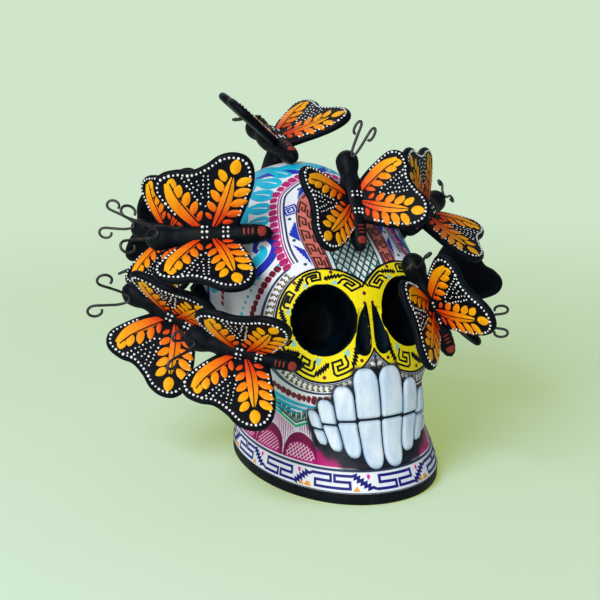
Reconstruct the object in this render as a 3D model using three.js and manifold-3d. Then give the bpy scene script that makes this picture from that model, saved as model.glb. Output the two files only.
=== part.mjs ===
// A painted earthenware skull with ten clay butterflies on it, each standing on its own clay pedestal.
// Millimetres, +Z up, the face looks along -Y, and the origin is the middle of the foot slab's underside.
import * as THREE from 'three';
import { mergeVertices } from 'three/addons/utils/BufferGeometryUtils.js';
import Module from 'manifold-3d';

const wasm = await Module();
wasm.setup();

// Driving sizes of the skull and its foot
const skullHeight = 135.5;
const skullLength = 150;
const skullWidth = 98;
const skullWall = 5;
const slabThickness = 5.5;
const slabChamfer = 1.2;
const ventRadius = 10;
const ventBehindMiddle = 34;

// Driving sizes of the face
const eyeSpacing = 40.4;
const eyeHeight = 76.2;
const eyeForward = 34.5;
const ringHalfWidth = 20.9;
const ringHalfHeight = 25;
const cheekRoll = 4.5;
const cheekThickness = 28;
const blendWidth = 8;
const socketHalfWidth = 14.6;
const socketHalfHeight = 15.9;
const socketRise = 2.4;
const socketDepth = 22;
const socketWall = 4;
const muzzleHalfWidth = 24.5;
const muzzleHalfHeight = 25;
const muzzleThickness = 26;
const muzzleForward = 51.5;
const muzzleHeight = 34;
const nostrilHalfWidth = 3.3;
const nostrilHalfHeight = 10;
const nostrilDepth = 2.4;
const nostrilSpacing = 8.4;
const nostrilHeight = 74;
const biteHeight = 36;
const biteDroop = 5;
const upperToothHeight = 23;
const lowerToothHeight = 22;
const toothWidth = 11.2;
const toothRelief = 1.4;

// Driving sizes of a full-size butterfly
const bodyLength = 60;
const bodyHalfWidth = 6.4;
const wingSpan = 40;
const wingLength = 46.6;
const wingThickness = 5.2;
const wingEdgeRound = 1.9;
const antennaReach = 19;
const wireDiameter = 1.3;
const curlRadius = 3.6;
const pedestalHalfLength = 7.5;
const pedestalHalfWidth = 4.6;

// The clearance between two pieces that touch, and how far a cut runs out past what it cuts
const seatGap = 0.3;
const cutOverrun = 6;

// Angles in degrees: an eye is turned outwards from the nose and tilted up
const eyeYaw = 12;
const eyePitch = 18;

const colours = { glaze: 0xe9e6ec, soot: 0x16181d, wing: 0xe08a1c, wire: 0x121317 };

// The skull's slices from the rim to the crown. Each row holds a height as a share of the shell's height, how far
// the slice reaches to the front and to the back as shares of the length, and its half width as a share of the width.
const sliceShares = [
  [0, 0.423, 0.423, 0.453],
  [0.07, 0.39, 0.417, 0.431],
  [0.15, 0.347, 0.467, 0.404],
  [0.24, 0.307, 0.567, 0.418],
  [0.36, 0.28, 0.64, 0.454],
  [0.5, 0.263, 0.68, 0.49],
  [0.64, 0.22, 0.687, 0.5],
  [0.77, 0.12, 0.647, 0.449],
  [0.87, 0, 0.553, 0.342],
  [0.945, -0.093, 0.46, 0.219],
  [0.986, -0.187, 0.367, 0.107],
  [1, -0.273, 0.273, 0],
];
const sliceSquareness = 2.08;

// The teeth of one side from the middle outwards, as shares of the middle tooth's width and heights.
const toothWidthShares = [1, 0.8, 0.64, 0.48];
const upperToothShares = [1, 0.7, 0.5, 0.36];
const lowerToothShares = [1, 0.76, 0.56, 0.32];

// A butterfly's own frame: the head points along +Y, the back faces +Z and the right wing lies towards +X.
// Each row of the body holds a place along it from the tail, as a share of its length, and a radius, as a share
// of its half width. The thorax is the frame's origin.
const bodyShares = [
  [0, 0.14], [0.03, 0.46], [0.13, 0.7], [0.4, 0.86], [0.53, 1], [0.65, 0.95], [0.75, 0.73], [0.84, 0.92],
  [0.92, 0.92], [0.975, 0.58], [1, 0.16],
];
const thoraxShare = 0.43;
const headShare = 0.88;
const headRadiusShare = 0.92;

// The right wing's outline before it is lifted: places outwards as shares of the span, and towards the head as
// shares of the length along the body. It runs from the front root round the tip to the back root.
const wingShares = [
  [0.04, 0.25], [0.22, 0.4], [0.4, 0.515], [0.575, 0.594], [0.71, 0.575], [0.795, 0.49], [0.825, 0.34],
  [0.81, 0.2], [0.875, 0.05], [0.97, -0.085], [1, -0.225], [0.95, -0.355], [0.825, -0.42], [0.65, -0.418],
  [0.46, -0.365], [0.275, -0.29], [0.06, -0.2],
];

// One arm of the feeler wire up to its curl, as shares of its reach: sideways, forwards and upwards.
const feelerShares = [[0.1, 0.03, 0.03], [0.22, 0.2, 0.16], [0.3, 0.45, 0.34], [0.36, 0.66, 0.5]];
const curlTurnShare = 0.78;

// Where each butterfly stands. turn is the way round the skull from the face towards its left side, facing is where
// the butterfly's back looks (round from the face, and up), heading turns its head clockwise from straight up, lift
// raises its left and right wing and sweep turns them towards the tail, feelers bends the wire forwards and to the
// right, all in degrees. heightShare is of the skull's height, standShare of a body's length, sizeShare of a
// full-size butterfly and spreadShare of the feelers' full spread.
const butterflies = [
  { name: 'right_temple', turn: -73, heightShare: 0.748, facing: [-29, 29], heading: -94,
    lift: [34, 38], sweep: [0, 0], feelers: [0, 0], standShare: 0.32, sizeShare: 0.98, spreadShare: 0.8 },
  { name: 'right_rear', turn: -121, heightShare: 0.7, facing: [-62, 24], heading: -90,
    lift: [18, 20], sweep: [16, 0], feelers: [0, 0], standShare: 0.3, sizeShare: 0.84, spreadShare: 0.8 },
  { name: 'right_side', turn: -107, heightShare: 0.532, facing: [-44, -10], heading: -66,
    lift: [54, 38], sweep: [0, 0], feelers: [0, 0], standShare: 0.42, sizeShare: 0.96, spreadShare: 0.9 },
  { name: 'right_cheek', turn: -41, heightShare: 0.512, facing: [-34, -3], heading: -78,
    lift: [50, 42], sweep: [0, 0], feelers: [-30, 0], standShare: 0.36, sizeShare: 0.9, spreadShare: 0.7 },
  { name: 'crown', turn: -166, heightShare: 0.968, facing: [24, 80], heading: 24,
    lift: [38, 32], sweep: [0, 0], feelers: [60, 0], standShare: 0.19, sizeShare: 0.96, spreadShare: 0.6 },
  { name: 'forehead', turn: 4, heightShare: 0.855, facing: [4, 38], heading: 10,
    lift: [22, 38], sweep: [24, 0], feelers: [0, 25], standShare: 0.2, sizeShare: 0.86, spreadShare: 0.4 },
  { name: 'left_temple', turn: 70, heightShare: 0.75, facing: [42, 36], heading: 82,
    lift: [30, 28], sweep: [0, 0], feelers: [50, 0], standShare: 0.24, sizeShare: 0.92, spreadShare: 0.5 },
  { name: 'left_eye', turn: 26, heightShare: 0.57, facing: [-8, 8], heading: -22,
    lift: [54, 64], sweep: [0, -8], feelers: [-30, -10], standShare: 0.19, sizeShare: 0.86, spreadShare: 0.5 },
  { name: 'left_side', turn: 76, heightShare: 0.515, facing: [110, -10], heading: -110,
    lift: [56, 40], sweep: [0, 0], feelers: [0, 30], standShare: 0.34, sizeShare: 0.92, spreadShare: 0.6 },
  { name: 'right_back', turn: -152, heightShare: 0.66, facing: [-132, 26], heading: 172,
    lift: [26, 34], sweep: [0, 0], feelers: [0, 0], standShare: 0.28, sizeShare: 0.9, spreadShare: 0.8 },
];

const radians = THREE.MathUtils.degToRad;

function solidFrom(geometry) {
  const bare = geometry.clone();
  bare.deleteAttribute('normal');
  bare.deleteAttribute('uv');
  const merged = mergeVertices(bare, seatGap / 1000);
  return new wasm.Manifold(new wasm.Mesh({
    numProp: 3,
    vertProperties: new Float32Array(merged.attributes.position.array),
    triVerts: new Uint32Array(merged.index.array),
  }));
}

function geometryFrom(solid) {
  const mesh = solid.getMesh();
  const geometry = new THREE.BufferGeometry();
  geometry.setAttribute('position', new THREE.BufferAttribute(new Float32Array(mesh.vertProperties), 3));
  geometry.setIndex(new THREE.BufferAttribute(new Uint32Array(mesh.triVerts), 1));
  geometry.computeVertexNormals();
  return geometry;
}

// The largest separate lump of a solid, so that a cut leaves no crumbs behind.
function mainLump(solid) {
  return solid.decompose().reduce((best, lump) => (lump.volume() > best.volume() ? lump : best));
}

// Joins rings of equal point counts from the first end to the last and closes both ends with a fan. Each ring runs
// anticlockwise as seen from beyond the last end.
function loft(rings) {
  const count = rings[0].length;
  const points = rings.flat();
  const middle = (ring) => ring.reduce((sum, p) => sum.add(p), new THREE.Vector3()).divideScalar(count);
  const first = points.push(middle(rings[0])) - 1;
  const last = points.push(middle(rings[rings.length - 1])) - 1;
  const topRow = (rings.length - 1) * count;
  const index = [];
  for (let i = 0; i < count; i++) {
    const next = (i + 1) % count;
    index.push(first, next, i, last, topRow + i, topRow + next);
    for (let row = 0; row < topRow; row += count) {
      index.push(row + i, row + next, row + next + count, row + i, row + next + count, row + i + count);
    }
  }
  const geometry = new THREE.BufferGeometry().setFromPoints(points);
  geometry.setIndex(index);
  return geometry;
}

// The slice at a position that runs from 0 at the rim to 1 at the crown, smoothed between the listed rows.
function sliceAt(position) {
  const last = sliceShares.length - 1;
  const along = Math.min(position, 1) * last;
  const row = Math.min(Math.floor(along), last - 1);
  const t = along - row;
  const [height, front, back, half] = sliceShares[last - 1];
  const rowAt = (n) => {
    if (n < 0) return sliceShares[0].map((share, k) => 2 * share - sliceShares[1][k]);
    return n > last ? [height, -back, -front, -half] : sliceShares[n];
  };
  const shares = [0, 1, 2, 3].map((k) => {
    const [a, b, c, d] = [rowAt(row - 1)[k], rowAt(row)[k], rowAt(row + 1)[k], rowAt(row + 2)[k]];
    return b + 0.5 * t * (c - a + t * (2 * a - 5 * b + 4 * c - d + t * (3 * (b - c) + d - a)));
  });
  return {
    height: slabThickness + shares[0] * (skullHeight - slabThickness),
    middle: (shares[2] - shares[1]) * skullLength * 0.5,
    halfLength: (shares[2] + shares[1]) * skullLength * 0.5,
    halfWidth: Math.max(shares[3], 0) * skullWidth,
  };
}

// The position of the slice that lies at a height.
function positionAt(height) {
  let low = 0;
  let high = 1;
  for (let pass = 0; pass < 30; pass++) {
    const half = (low + high) / 2;
    if (sliceAt(half).height < height) low = half;
    else high = half;
  }
  return low;
}

// How far a slice's plain oval reaches from its middle, at an angle from the front towards +X.
function ovalReach(slice, angle, inset) {
  const smallest = seatGap / 100;
  const along = Math.abs(Math.cos(angle)) / Math.max(slice.halfLength - inset, smallest);
  const across = Math.abs(Math.sin(angle)) / Math.max(slice.halfWidth - inset, smallest);
  return (along ** sliceSquareness + across ** sliceSquareness) ** (-1 / sliceSquareness);
}

function onLevel(slice, angle, reach) {
  return new THREE.Vector3(reach * Math.sin(angle), slice.middle - reach * Math.cos(angle), slice.height);
}

// The frame of one eye, with out pointing away from the face. side is 1 for the skull's own left eye.
function eyeFrame(side) {
  const yaw = radians(eyeYaw) * side;
  const pitch = radians(eyePitch);
  const out = new THREE.Vector3(
    Math.sin(yaw) * Math.cos(pitch), -Math.cos(yaw) * Math.cos(pitch), Math.sin(pitch));
  const across = new THREE.Vector3(Math.cos(yaw), Math.sin(yaw), 0);
  const up = new THREE.Vector3().crossVectors(out, across);
  const middle = new THREE.Vector3(side * eyeSpacing * 0.5, -eyeForward, eyeHeight);
  return { out, across, up, middle };
}
const eyes = [eyeFrame(-1), eyeFrame(1)];

// Roughly how far a point lies outside the round cheek that carries an eye's ring.
function outsideCheek(point, eye) {
  const halfThickness = cheekThickness / 2;
  const flatness = 3;
  const from = point.clone().sub(eye.middle).addScaledVector(eye.out, halfThickness);
  const across = from.dot(eye.across) / (ringHalfWidth + cheekRoll);
  const up = from.dot(eye.up) / (ringHalfHeight + cheekRoll);
  const out = Math.abs(from.dot(eye.out)) / halfThickness;
  return ((Math.hypot(across, up) ** flatness + out ** flatness) ** (1 / flatness) - 1) * halfThickness;
}

// Roughly how far a point lies outside the muzzle that carries the teeth.
function outsideMuzzle(point) {
  const halfThickness = muzzleThickness / 2;
  const across = point.x / muzzleHalfWidth;
  const along = (point.y + muzzleForward - halfThickness) / halfThickness;
  const up = (point.z - muzzleHeight) / muzzleHalfHeight;
  return (Math.hypot(across, along, up) - 1) * halfThickness;
}

function blended(a, b) {
  const mix = Math.max(blendWidth - Math.abs(a - b), 0) / blendWidth;
  return Math.min(a, b) - mix * mix * blendWidth * 0.25;
}

// A point of the skull's outside, found by coming in from outside along a level line to the slice's middle.
function skullPoint(position, angle) {
  const slice = sliceAt(position);
  if (slice.halfWidth === 0) return onLevel(slice, angle, 0);
  const plain = ovalReach(slice, angle, 0);
  const outside = (reach) => {
    const point = onLevel(slice, angle, reach);
    const cheeks = eyes.reduce((distance, eye) => blended(distance, outsideCheek(point, eye)), reach - plain);
    return blended(cheeks, outsideMuzzle(point));
  };
  const step = ringHalfWidth / 20;
  let outer = plain + ringHalfWidth;
  while (outer - step > plain && outside(outer - step) > 0) outer -= step;
  let inner = outer - step;
  for (let pass = 0; pass < 14; pass++) {
    const half = (inner + outer) / 2;
    if (outside(half) > 0) outer = half;
    else inner = half;
  }
  return onLevel(slice, angle, inner);
}

function skullNormal(position, angle) {
  const nudge = 0.004;
  const low = Math.max(position - nudge, 0);
  const around = skullPoint(position, angle + nudge).sub(skullPoint(position, angle - nudge));
  const rising = skullPoint(Math.min(position + nudge, 1), angle).sub(skullPoint(low, angle));
  return around.cross(rising).normalize();
}

// The columns of the skull stand closer together towards the face.
function columnAngle(column, columns) {
  const crowdingShare = 0.35;
  const turn = (column / columns) * 2 * Math.PI;
  return turn - crowdingShare * Math.sin(turn);
}

// The whole outside of the skull as one solid, pushed out by a clearance.
function skullEnvelope(clearance) {
  const columns = 44;
  const rows = 22;
  const crownShare = 0.9;
  const rings = [];
  for (let row = 0; row < rows; row++) {
    const position = row / rows;
    rings.push(Array.from({ length: columns }, (_, column) => {
      const angle = columnAngle(column, columns);
      const point = skullPoint(position, angle);
      return clearance > 0 ? point.addScaledVector(skullNormal(position, angle), clearance) : point;
    }));
  }
  const crown = skullPoint(1, 0).add(new THREE.Vector3(0, 0, clearance));
  rings.push(rings[rows - 1].map((point) => point.clone().lerp(crown, crownShare)));
  return solidFrom(loft(rings));
}

// The hollow inside the shell: the plain slices less the wall, run out through the open rim.
function skullHollow() {
  const columns = 20;
  const rows = 9;
  const highestShare = 0.955;
  const rings = [];
  for (let row = 0; row < rows; row++) {
    const slice = sliceAt((row / (rows - 1)) * highestShare);
    if (row === 0) slice.height -= cutOverrun;
    if (row === rows - 1) slice.height = Math.min(slice.height, skullHeight - skullWall);
    rings.push(Array.from({ length: columns }, (_, column) => {
      const angle = (column / columns) * 2 * Math.PI;
      return onLevel(slice, angle, ovalReach(slice, angle, skullWall));
    }));
  }
  return solidFrom(loft(rings));
}

// A blind cup with a rounded floor, its mouth at z = 0, run out past the mouth.
function cup(halfWidth, halfHeight, depth) {
  const cornerShare = 0.4;
  const floorShare = 0.8;
  const profile = [new THREE.Vector2(0, -depth)];
  for (let k = 0; k <= 3; k++) {
    const turn = (k / 3) * (Math.PI / 2);
    profile.push(new THREE.Vector2(
      floorShare - cornerShare * (1 - Math.sin(turn)), (cornerShare * (1 - Math.cos(turn)) - 1) * depth));
  }
  profile.push(new THREE.Vector2(1, 0), new THREE.Vector2(1, cutOverrun), new THREE.Vector2(0, cutOverrun));
  return new THREE.LatheGeometry(profile, 20).rotateX(Math.PI / 2).scale(halfWidth, halfHeight, 1);
}

function inSocket(geometry, eye) {
  const mouth = eye.middle.clone().addScaledVector(eye.up, socketRise);
  return geometry.applyMatrix4(new THREE.Matrix4().makeBasis(eye.across, eye.up, eye.out).setPosition(mouth));
}

// One tooth, a shallow cushion with full corners that stands a little out of the muzzle.
function tooth(angle, height, width, tall) {
  const roundnessShare = 0.8;
  const position = positionAt(height);
  const out = skullNormal(position, angle);
  const up = new THREE.Vector3(0, 0, 1).addScaledVector(out, -out.z).normalize();
  const across = new THREE.Vector3().crossVectors(up, out);
  const place = new THREE.Matrix4().makeBasis(across, up, out).setPosition(skullPoint(position, angle));
  const cushion = new THREE.SphereGeometry(1, 8, 6).rotateY(Math.PI / 8);
  const corners = cushion.attributes.position;
  for (let i = 0; i < corners.count; i++) {
    const [x, y] = [corners.getX(i), corners.getY(i)];
    corners.setX(i, Math.sign(x) * Math.abs(x) ** roundnessShare);
    corners.setY(i, Math.sign(y) * Math.abs(y) ** roundnessShare);
  }
  cushion.scale(width / 2, tall / 2, toothRelief);
  return solidFrom(cushion.applyMatrix4(place));
}

// The teeth step round the muzzle from the middle, and the bite line droops towards the corners of the mouth.
function teeth() {
  const solids = [];
  const middle = new THREE.Vector3(0, sliceAt(positionAt(biteHeight)).middle, 0);
  for (const side of [-1, 1]) {
    let passed = 0;
    toothWidthShares.forEach((share, n) => {
      const width = share * toothWidth;
      const radius = skullPoint(positionAt(biteHeight), side * passed).setZ(0).distanceTo(middle);
      const angle = passed + width / radius / 2;
      const bite = biteHeight - biteDroop * (n / (toothWidthShares.length - 1)) ** 2;
      const upper = upperToothShares[n] * upperToothHeight;
      const lower = lowerToothShares[n] * lowerToothHeight;
      solids.push(tooth(side * angle, bite + upper / 2, width, upper));
      solids.push(tooth(side * angle, bite - lower / 2, width, lower));
      passed += width / radius;
    });
  }
  return solids;
}

function nostrils() {
  const position = positionAt(nostrilHeight);
  const slice = sliceAt(position);
  return [-1, 1].map((side) => {
    const angle = side * Math.asin(nostrilSpacing / 2 / slice.halfLength);
    const hollow = new THREE.SphereGeometry(1, 9, 6).scale(nostrilHalfWidth, nostrilDepth, nostrilHalfHeight);
    const point = skullPoint(position, angle);
    return solidFrom(hollow.rotateX(-radians(eyePitch)).translate(point.x, point.y, point.z));
  });
}

function skullShell() {
  let hollow = skullHollow();
  let shell = skullEnvelope(0);
  for (const cushion of teeth()) shell = shell.add(cushion);
  for (const eye of eyes) {
    const outside = cup(socketHalfWidth + socketWall, socketHalfHeight + socketWall, socketDepth + socketWall);
    hollow = hollow.subtract(solidFrom(inSocket(outside, eye)));
  }
  shell = shell.subtract(hollow);
  for (const eye of eyes) {
    shell = shell.subtract(solidFrom(inSocket(cup(socketHalfWidth, socketHalfHeight, socketDepth), eye)));
  }
  for (const hollowed of nostrils()) shell = shell.subtract(hollowed);
  return mainLump(shell);
}

function footSlab() {
  const columns = 44;
  const rim = sliceAt(0);
  const ringAt = (inset, height) => Array.from({ length: columns }, (_, column) => {
    const angle = columnAngle(column, columns);
    return onLevel(rim, angle, ovalReach(rim, angle, inset)).setZ(height);
  });
  const slab = solidFrom(loft([ringAt(slabChamfer, 0), ringAt(0, slabChamfer), ringAt(0, slabThickness)]));
  const vent = new THREE.CylinderGeometry(ventRadius, ventRadius, slabThickness + 2 * cutOverrun, 24);
  vent.rotateX(Math.PI / 2).translate(0, ventBehindMiddle, slabThickness / 2);
  return slab.subtract(solidFrom(vent));
}

// A butterfly's body, head to tail, swollen by a clearance where it cuts a seat in another piece.
function butterflyBody(size, clearance) {
  const sides = 8;
  const last = bodyShares.length - 1;
  return solidFrom(loft(bodyShares.map(([along, radius], n) => {
    const past = n === 0 ? -clearance : n === last ? clearance : 0;
    const place = (along - thoraxShare) * bodyLength * size + past;
    const reach = radius * bodyHalfWidth * size + clearance;
    return Array.from({ length: sides }, (_, k) => {
      const angle = -(k / sides) * 2 * Math.PI;
      return new THREE.Vector3(reach * Math.cos(angle), place, reach * Math.sin(angle));
    });
  })));
}

// A wing is a plate of clay with rounded edges, turned and lifted at the thorax. side is 1 for the right wing.
function butterflyWing(size, side, lift, sweep) {
  const places = wingShares.map(([out, along]) => new THREE.Vector2(
    side * out * wingSpan * size, along * wingLength * size));
  const outline = new THREE.Shape(new THREE.SplineCurve(places).getPoints(16));
  const plate = new THREE.ExtrudeGeometry(outline, {
    depth: (wingThickness - 2 * wingEdgeRound) * size,
    bevelThickness: wingEdgeRound * size,
    bevelSize: wingEdgeRound * size,
    bevelOffset: -wingEdgeRound * size,
    bevelSegments: 1,
  });
  plate.translate(0, 0, (wingEdgeRound - wingThickness / 2) * size);
  plate.rotateZ(-side * radians(sweep)).rotateY(-side * radians(lift));
  return mainLump(solidFrom(plate).subtract(butterflyBody(size, seatGap)));
}

// The feelers are one wire, bent round the head and curled at both ends.
function feelerWire({ sizeShare: size, feelers: [forwards, aside], spreadShare }) {
  const reach = antennaReach * size;
  const headReach = bodyHalfWidth * headRadiusShare * size;
  const foot = new THREE.Vector3(
    0, (headShare - thoraxShare) * bodyLength * size, headReach + seatGap + wireDiameter / 2);
  const arm = feelerShares.map(([out, forward, up]) => new THREE.Vector3(out, forward, up).multiplyScalar(reach));
  const along = arm[3].clone().sub(arm[2]).normalize();
  const inwards = new THREE.Vector3(1, 0, 0).addScaledVector(along, -along.x).normalize();
  const middle = arm[3].clone().addScaledVector(inwards, curlRadius * size);
  const steps = 8;
  for (let k = 1; k <= steps; k++) {
    const turn = (k / steps) * curlTurnShare * 2 * Math.PI;
    arm.push(middle.clone()
      .addScaledVector(inwards, -curlRadius * size * Math.cos(turn))
      .addScaledVector(along, curlRadius * size * Math.sin(turn)));
  }
  const leftArm = arm.map((point) => point.clone().setX(-point.x)).reverse();
  const bent = new THREE.Euler(-radians(forwards), 0, -radians(aside));
  const path = new THREE.CatmullRomCurve3([...leftArm, new THREE.Vector3(), ...arm].map((point) => (
    point.setX(point.x * spreadShare).applyEuler(bent).add(foot))));
  const section = new THREE.Shape(new THREE.EllipseCurve(0, 0, wireDiameter / 2, wireDiameter / 2).getPoints(5));
  return new THREE.ExtrudeGeometry(section, { steps: 28, extrudePath: path });
}

// The pedestal is a flaring clay stub from the skull to the butterfly's belly, in the butterfly's frame.
function pedestal(size, stand, toWorld, skull) {
  const depth = stand + 2 * pedestalHalfLength * size;
  const sides = 10;
  const flareShares = [0.85, 0.8, 1, 1.5];
  const downShares = [0, 0.45, 0.8];
  const belowBelly = [...downShares.map((share) => share * stand), depth];
  const rings = belowBelly.map((down, n) => Array.from({ length: sides }, (_, k) => {
    const angle = -(k / sides) * 2 * Math.PI;
    return new THREE.Vector3(
      pedestalHalfWidth * size * flareShares[n] * Math.cos(angle),
      pedestalHalfLength * size * flareShares[n] * Math.sin(angle),
      -down);
  }));
  const stub = solidFrom(loft(rings)).subtract(butterflyBody(size, seatGap));
  const onSkull = solidFrom(geometryFrom(stub).applyMatrix4(toWorld)).subtract(skull);
  return geometryFrom(mainLump(onSkull)).applyMatrix4(toWorld.clone().invert());
}

const model = new THREE.Group();

function material(colour, roughness) {
  return new THREE.MeshStandardMaterial({ color: colour, roughness, metalness: 0 });
}

function addNode(parent, name, geometry, colour, roughness) {
  const mesh = new THREE.Mesh(geometry, material(colour, roughness));
  mesh.name = name;
  parent.add(mesh);
}

// Turns the butterfly's frame so that its back faces the stated way and its head lies at its heading.
function butterflyPlace({ turn, heightShare, facing, heading, standShare }) {
  const position = positionAt(heightShare * skullHeight);
  const seat = skullPoint(position, radians(turn));
  const [round, rise] = facing.map(radians);
  const up = new THREE.Vector3(Math.sin(round) * Math.cos(rise), -Math.cos(round) * Math.cos(rise), Math.sin(rise));
  const level = new THREE.Vector3(Math.cos(round), Math.sin(round), 0);
  const uphill = new THREE.Vector3().crossVectors(up, level);
  const head = uphill.multiplyScalar(Math.cos(radians(heading))).addScaledVector(level, Math.sin(radians(heading)));
  const right = new THREE.Vector3().crossVectors(head, up);
  const place = seat.addScaledVector(up, standShare * bodyLength);
  return new THREE.Matrix4().makeBasis(right, head, up).setPosition(place);
}

addNode(model, 'foot_slab', geometryFrom(footSlab()), colours.soot, 0.7);
addNode(model, 'skull_shell', geometryFrom(skullShell()), colours.glaze, 0.45);

const skullWithGap = skullEnvelope(seatGap);
for (const butterfly of butterflies) {
  const size = butterfly.sizeShare;
  const place = butterflyPlace(butterfly);
  const group = new THREE.Group();
  group.applyMatrix4(place);
  model.add(group);
  const wing = (side, n) => geometryFrom(butterflyWing(size, side, butterfly.lift[n], butterfly.sweep[n]));
  const name = `${butterfly.name}_butterfly`;
  addNode(group, `${name}_body`, geometryFrom(butterflyBody(size, 0)), colours.soot, 0.75);
  addNode(group, `${name}_left_wing`, wing(-1, 0), colours.wing, 0.55);
  addNode(group, `${name}_right_wing`, wing(1, 1), colours.wing, 0.55);
  addNode(group, `${name}_feelers`, feelerWire(butterfly), colours.wire, 0.5);
  const stand = butterfly.standShare * bodyLength;
  addNode(group, `${name}_pedestal`, pedestal(size, stand, place, skullWithGap), colours.soot, 0.8);
}

export default model;
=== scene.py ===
# A painted clay skull with ten clay butterflies, each on a short clay stub. Places are worked out in
# millimetres and turned into metres where a mesh is made. The face looks along -Y, and the skull's own left
# is +X.
import math
from collections import namedtuple

import bmesh
import bpy
import numpy as np
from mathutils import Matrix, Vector
from mathutils.bvhtree import BVHTree
from mathutils.geometry import delaunay_2d_cdt


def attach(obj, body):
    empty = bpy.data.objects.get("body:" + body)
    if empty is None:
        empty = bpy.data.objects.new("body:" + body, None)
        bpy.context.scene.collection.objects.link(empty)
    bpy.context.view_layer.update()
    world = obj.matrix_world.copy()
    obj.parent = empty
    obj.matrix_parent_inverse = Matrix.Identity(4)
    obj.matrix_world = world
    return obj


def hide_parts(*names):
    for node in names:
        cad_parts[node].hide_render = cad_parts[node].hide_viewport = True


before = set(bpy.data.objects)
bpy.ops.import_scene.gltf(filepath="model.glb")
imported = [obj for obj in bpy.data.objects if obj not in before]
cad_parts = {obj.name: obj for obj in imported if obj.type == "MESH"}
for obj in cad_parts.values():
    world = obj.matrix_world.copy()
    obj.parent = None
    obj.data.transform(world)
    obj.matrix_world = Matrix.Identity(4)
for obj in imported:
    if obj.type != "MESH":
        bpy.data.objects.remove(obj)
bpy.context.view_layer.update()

# Studio
# The ornament stands on a pale seamless table, lit by a large window lamp, a softer one in front and a weak
# one behind. The camera looks from its right and a little above, as a photographer does across a table.
scene = bpy.context.scene
scene.view_settings.view_transform = "Standard"

camera_aim, camera_distance = Vector((-0.017, 0, 0.079)), 0.654
looking_back = Vector((-0.377, -0.889, 0.259)).normalized()
camera = bpy.data.objects.new("camera", bpy.data.cameras.new("camera"))
camera.data.lens, camera.data.sensor_width = 85, 36
camera.location = camera_aim + looking_back * camera_distance
camera.rotation_mode = "QUATERNION"
camera.rotation_quaternion = looking_back.to_track_quat("Z", "Y")
scene.collection.objects.link(camera)
scene.camera = camera

lamp_aim = Vector((0, 0, 0.08))
for name, place, power, side in (("window_lamp", (-0.78, -0.45, 0.95), 10.2, 0.6),
                                 ("front_lamp", (-0.74, -0.85, 0.3), 4.0, 0.5),
                                 ("rear_lamp", (0.2, 1.1, 0.7), 1.8, 0.8)):
    light = bpy.data.lights.new(name, "AREA")
    light.energy, light.size = power, side
    holder = bpy.data.objects.new(name, light)
    holder.location = place
    holder.rotation_mode = "QUATERNION"
    holder.rotation_quaternion = (Vector(place) - lamp_aim).to_track_quat("Z", "Y")
    scene.collection.objects.link(holder)


def fill(tree, node, inputs):
    """Gives a node's inputs their values, or links them where the value is another node's socket."""
    for key, value in inputs.items():
        if isinstance(value, bpy.types.NodeSocket):
            tree.links.new(value, node.inputs[key])
        else:
            node.inputs[key].default_value = value


def put(tree, kind, inputs=None, **settings):
    """A new node of a kind, with its settings and then its inputs."""
    node = tree.nodes.new(kind)
    for key, value in settings.items():
        setattr(node, key, value)
    fill(tree, node, inputs or {})
    return node


def ramp(tree, factor, stops):
    """A colour by a factor, from stops of a position and a colour."""
    node = put(tree, "ShaderNodeValToRGB", {"Fac": factor})
    for element, (position, colour) in zip(node.color_ramp.elements, (stops[0], stops[-1])):
        element.position, element.color = position, (*colour, 1)
    for position, colour in stops[1:-1]:
        node.color_ramp.elements.new(position).color = (*colour, 1)
    return node.outputs["Color"]


def new_material(name):
    material = bpy.data.materials.new(name)
    material.use_nodes = True
    return material, material.node_tree


backdrop_colour = (0.63, 0.79, 0.59, 1)
world = bpy.data.worlds.new("pale_room")
scene.world = world
world.use_nodes = True
room = world.node_tree
soft = room.nodes["Background"]
fill(room, soft, {"Color": (0.93, 0.97, 1.0, 1), "Strength": 0.33})
plain = put(room, "ShaderNodeBackground", {"Color": backdrop_colour})
seen = put(room, "ShaderNodeLightPath").outputs["Is Camera Ray"]
either = put(room, "ShaderNodeMixShader", {0: seen, 1: soft.outputs[0], 2: plain.outputs[0]})
fill(room, room.nodes["World Output"], {"Surface": either.outputs[0]})


def floor_material():
    """Near the ornament the table is lit. Further off it fades into the backdrop's plain colour."""
    material, tree = new_material("pale_table")
    place = put(tree, "ShaderNodeTexCoord").outputs["Object"]
    noise = put(tree, "ShaderNodeTexNoise", {"Vector": place, "Scale": 9})
    tone = ramp(tree, noise.outputs["Fac"], ((0, (0.4, 0.49, 0.64)), (1, (0.43, 0.52, 0.67))))
    lit = put(tree, "ShaderNodeBsdfDiffuse", {"Color": tone})
    # Near the ornament a constant yellow-green glow is added to camera rays over the lit table, so that where
    # the table is shaded it reads yellow-green: a painted tint of the shade.
    glow = put(tree, "ShaderNodeEmission", {"Color": (0.25, 0.33, 0.0, 1)})
    near = put(tree, "ShaderNodeAddShader", {0: lit.outputs[0], 1: glow.outputs[0]})
    far = put(tree, "ShaderNodeEmission", {"Color": backdrop_colour})
    distance = put(tree, "ShaderNodeVectorMath", {0: place}, operation="LENGTH")
    fade = put(tree, "ShaderNodeMapRange",
               {"Value": distance.outputs["Value"], "From Min": 0.2, "From Max": 0.62},
               interpolation_type="SMOOTHSTEP")
    faded = put(tree, "ShaderNodeMixShader",
                {0: fade.outputs["Result"], 1: near.outputs[0], 2: far.outputs[0]})
    shader = tree.nodes["Principled BSDF"]
    fill(tree, shader, {"Base Color": (0.62, 0.74, 0.6, 1), "Roughness": 0.85})
    seen = put(tree, "ShaderNodeLightPath").outputs["Is Camera Ray"]
    either = put(tree, "ShaderNodeMixShader", {0: seen, 1: shader.outputs[0], 2: faded.outputs[0]})
    fill(tree, tree.nodes["Material Output"], {"Surface": either.outputs[0]})
    return material


mm = 0.001


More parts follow.
